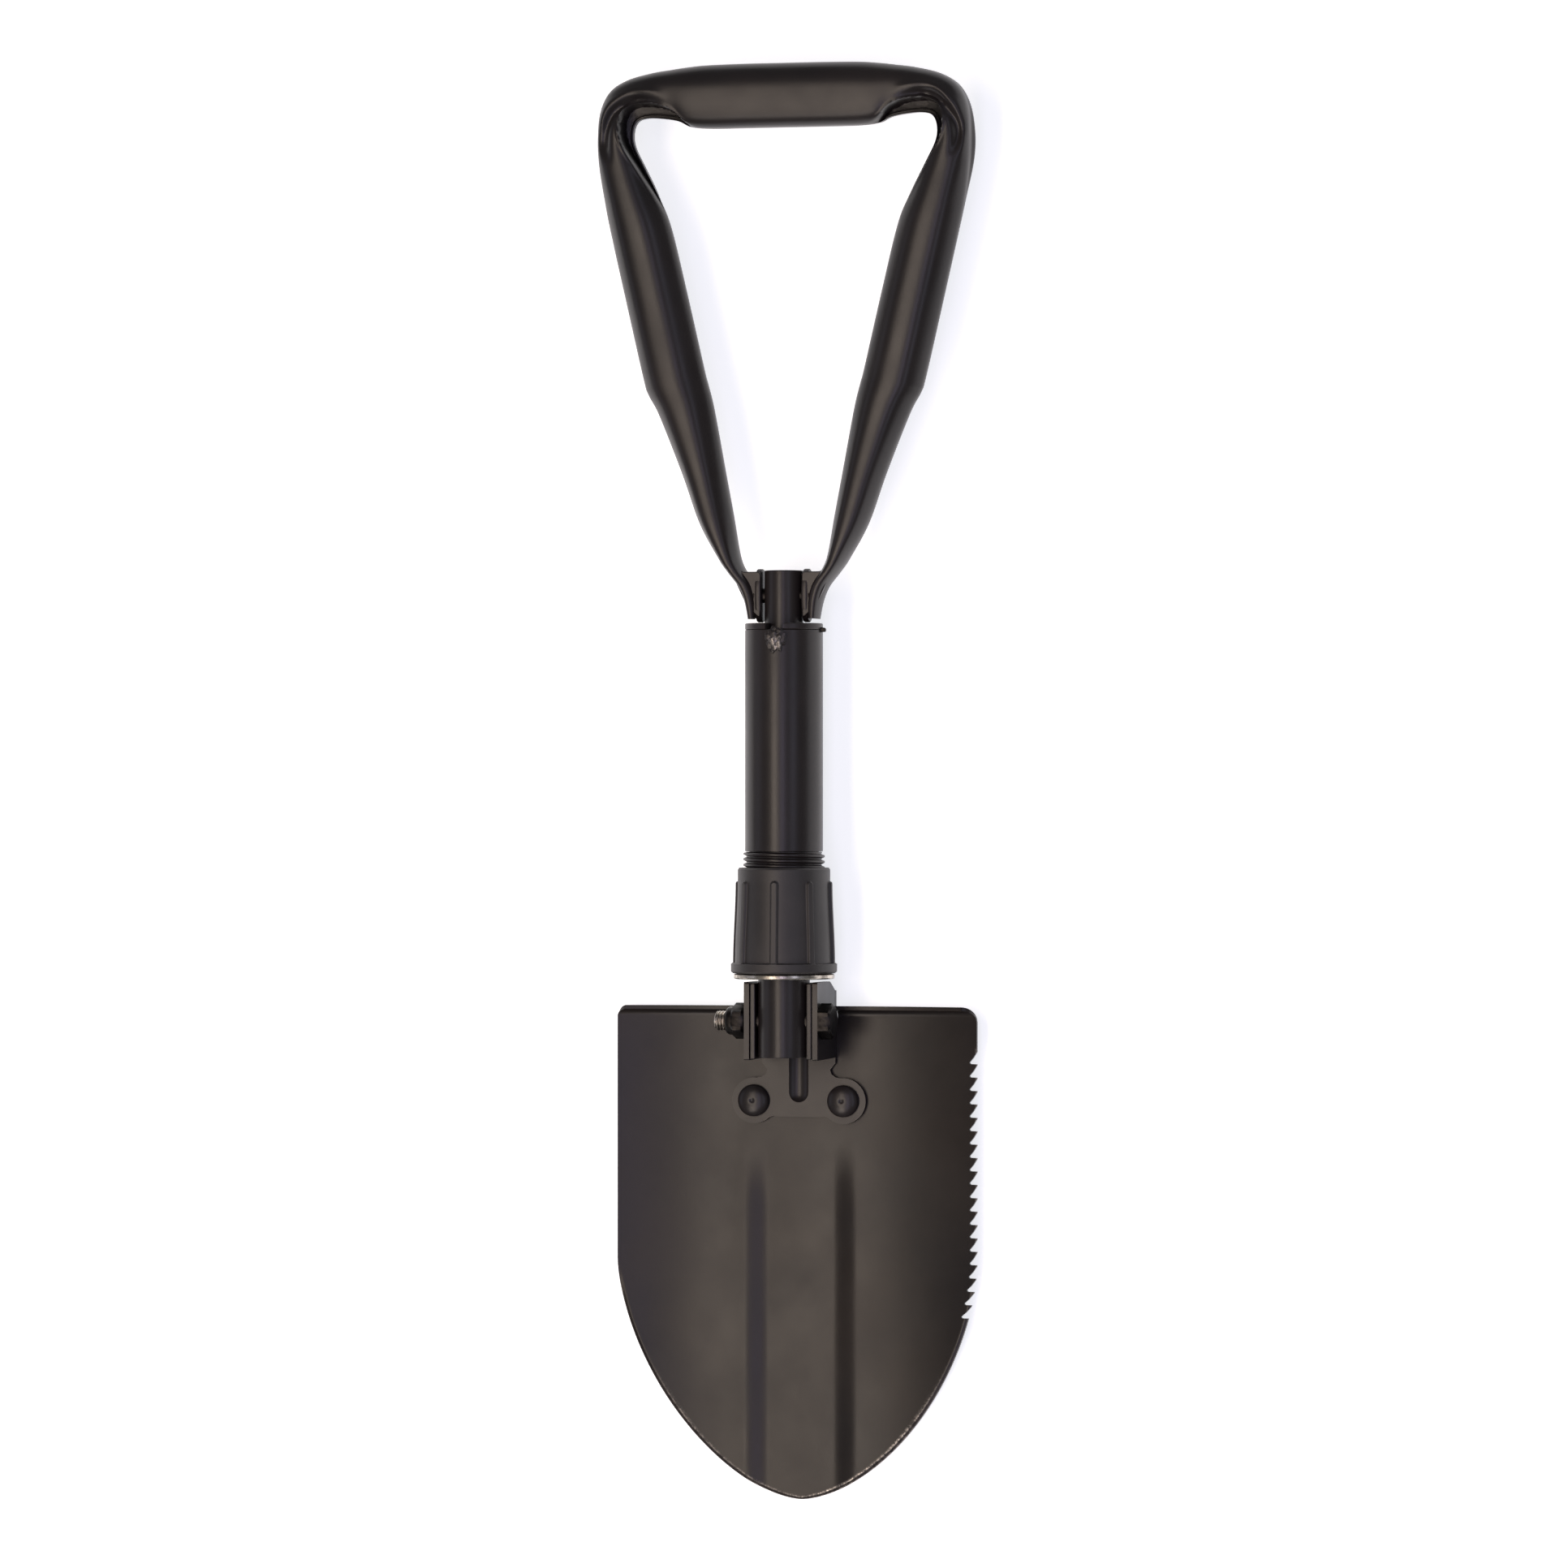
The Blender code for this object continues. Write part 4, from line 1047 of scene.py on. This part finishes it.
def make_floor():
    bm = bmesh.new()
    bmesh.ops.create_grid(bm, x_segments=1, y_segments=1, size=4.0)
    mesh = bpy.data.meshes.new("floor")
    bm.to_mesh(mesh)
    bm.free()
    floor = bpy.data.objects.new("floor", mesh)
    floor.location = (0, 0, frame_bounds[0][2] - 0.0002)
    bpy.context.scene.collection.objects.link(floor)
    look = bpy.data.materials.new("floor_white")
    look.use_nodes = True
    shader = look.node_tree.nodes["Principled BSDF"]
    shader.inputs["Base Color"].default_value = (0.93, 0.93, 0.93, 1)
    shader.inputs["Roughness"].default_value = 0.9
    shader.inputs["Emission Color"].default_value = (0.97, 0.98, 1.0, 1)
    shader.inputs["Emission Strength"].default_value = 0.68
    shader.inputs["Specular IOR Level"].default_value = 0.1
    mesh.materials.append(look)
    floor.visible_diffuse = False


def facing_middle(place):
    """The turn that points a light at the shovel's middle with its long side along the shovel."""
    back = Vector(place).normalized()
    along = (Vector((0, 1, 0)) - back * back.y).normalized()
    return Matrix((along.cross(back), along, back)).transposed().to_euler()


def make_light(name, aim_from, size, power, colour):
    """An oblong soft light that faces the shovel's middle."""
    data = bpy.data.lights.new(name, "AREA")
    data.shape = "RECTANGLE"
    data.size, data.size_y = size
    data.energy = power
    data.color = colour
    light = bpy.data.objects.new(name, data)
    light.location = aim_from
    light.rotation_euler = facing_middle(aim_from)
    bpy.context.scene.collection.objects.link(light)


def make_studio():
    make_light("overhead", (-0.34, -0.20, 1.5), (0.34, 1.8), 11.0, (1.0, 0.845, 0.71))
    make_light("cool_strip", (0.26, -0.20, 1.5), (0.24, 1.8), 3.6, (0.76, 0.69, 1.0))
    make_light("left_fill", (-1.9, 0.1, 0.8), (0.8, 1.6), 2.0, (0.84, 0.83, 1.0))
    make_light("right_fill", (1.05, 0.2, 1.2), (0.4, 2.0), 3.0, (0.74, 0.76, 1.0))
    make_light("tip", (-0.30, -0.95, 0.95), (0.5, 0.4), 2.6, (1.0, 0.88, 0.80))
    world = bpy.data.worlds.new("studio")
    world.use_nodes = True
    background = world.node_tree.nodes["Background"]
    background.inputs["Color"].default_value = (0.97, 0.98, 1.0, 1)
    background.inputs["Strength"].default_value = 0.16
    bpy.context.scene.world = world


def make_camera():
    data = bpy.data.cameras.new("camera")
    data.sensor_width = 36.0
    data.lens = data.sensor_width * CAMERA_REACH / VIEW_WIDTH
    data.clip_end = 20.0
    camera = bpy.data.objects.new("camera", data)
    target = Vector((0, 0, AXIS_Z * MM))
    away = Vector((math.sin(CAMERA_TILT), 0, math.cos(CAMERA_TILT)))
    camera.location = target + away * CAMERA_REACH
    camera.rotation_euler = (0, CAMERA_TILT, 0)
    scene = bpy.context.scene
    scene.collection.objects.link(camera)
    scene.camera = camera
    scene.view_settings.view_transform = "Standard"
    scene.view_settings.look = "None"


def main():
    make_tube_pieces()
    make_collar_pieces()
    make_blade()
    make_bracket()
    make_rivets()
    make_bolt()
    make_nut()
    make_handle()
    make_floor()
    make_studio()
    make_camera()


main()
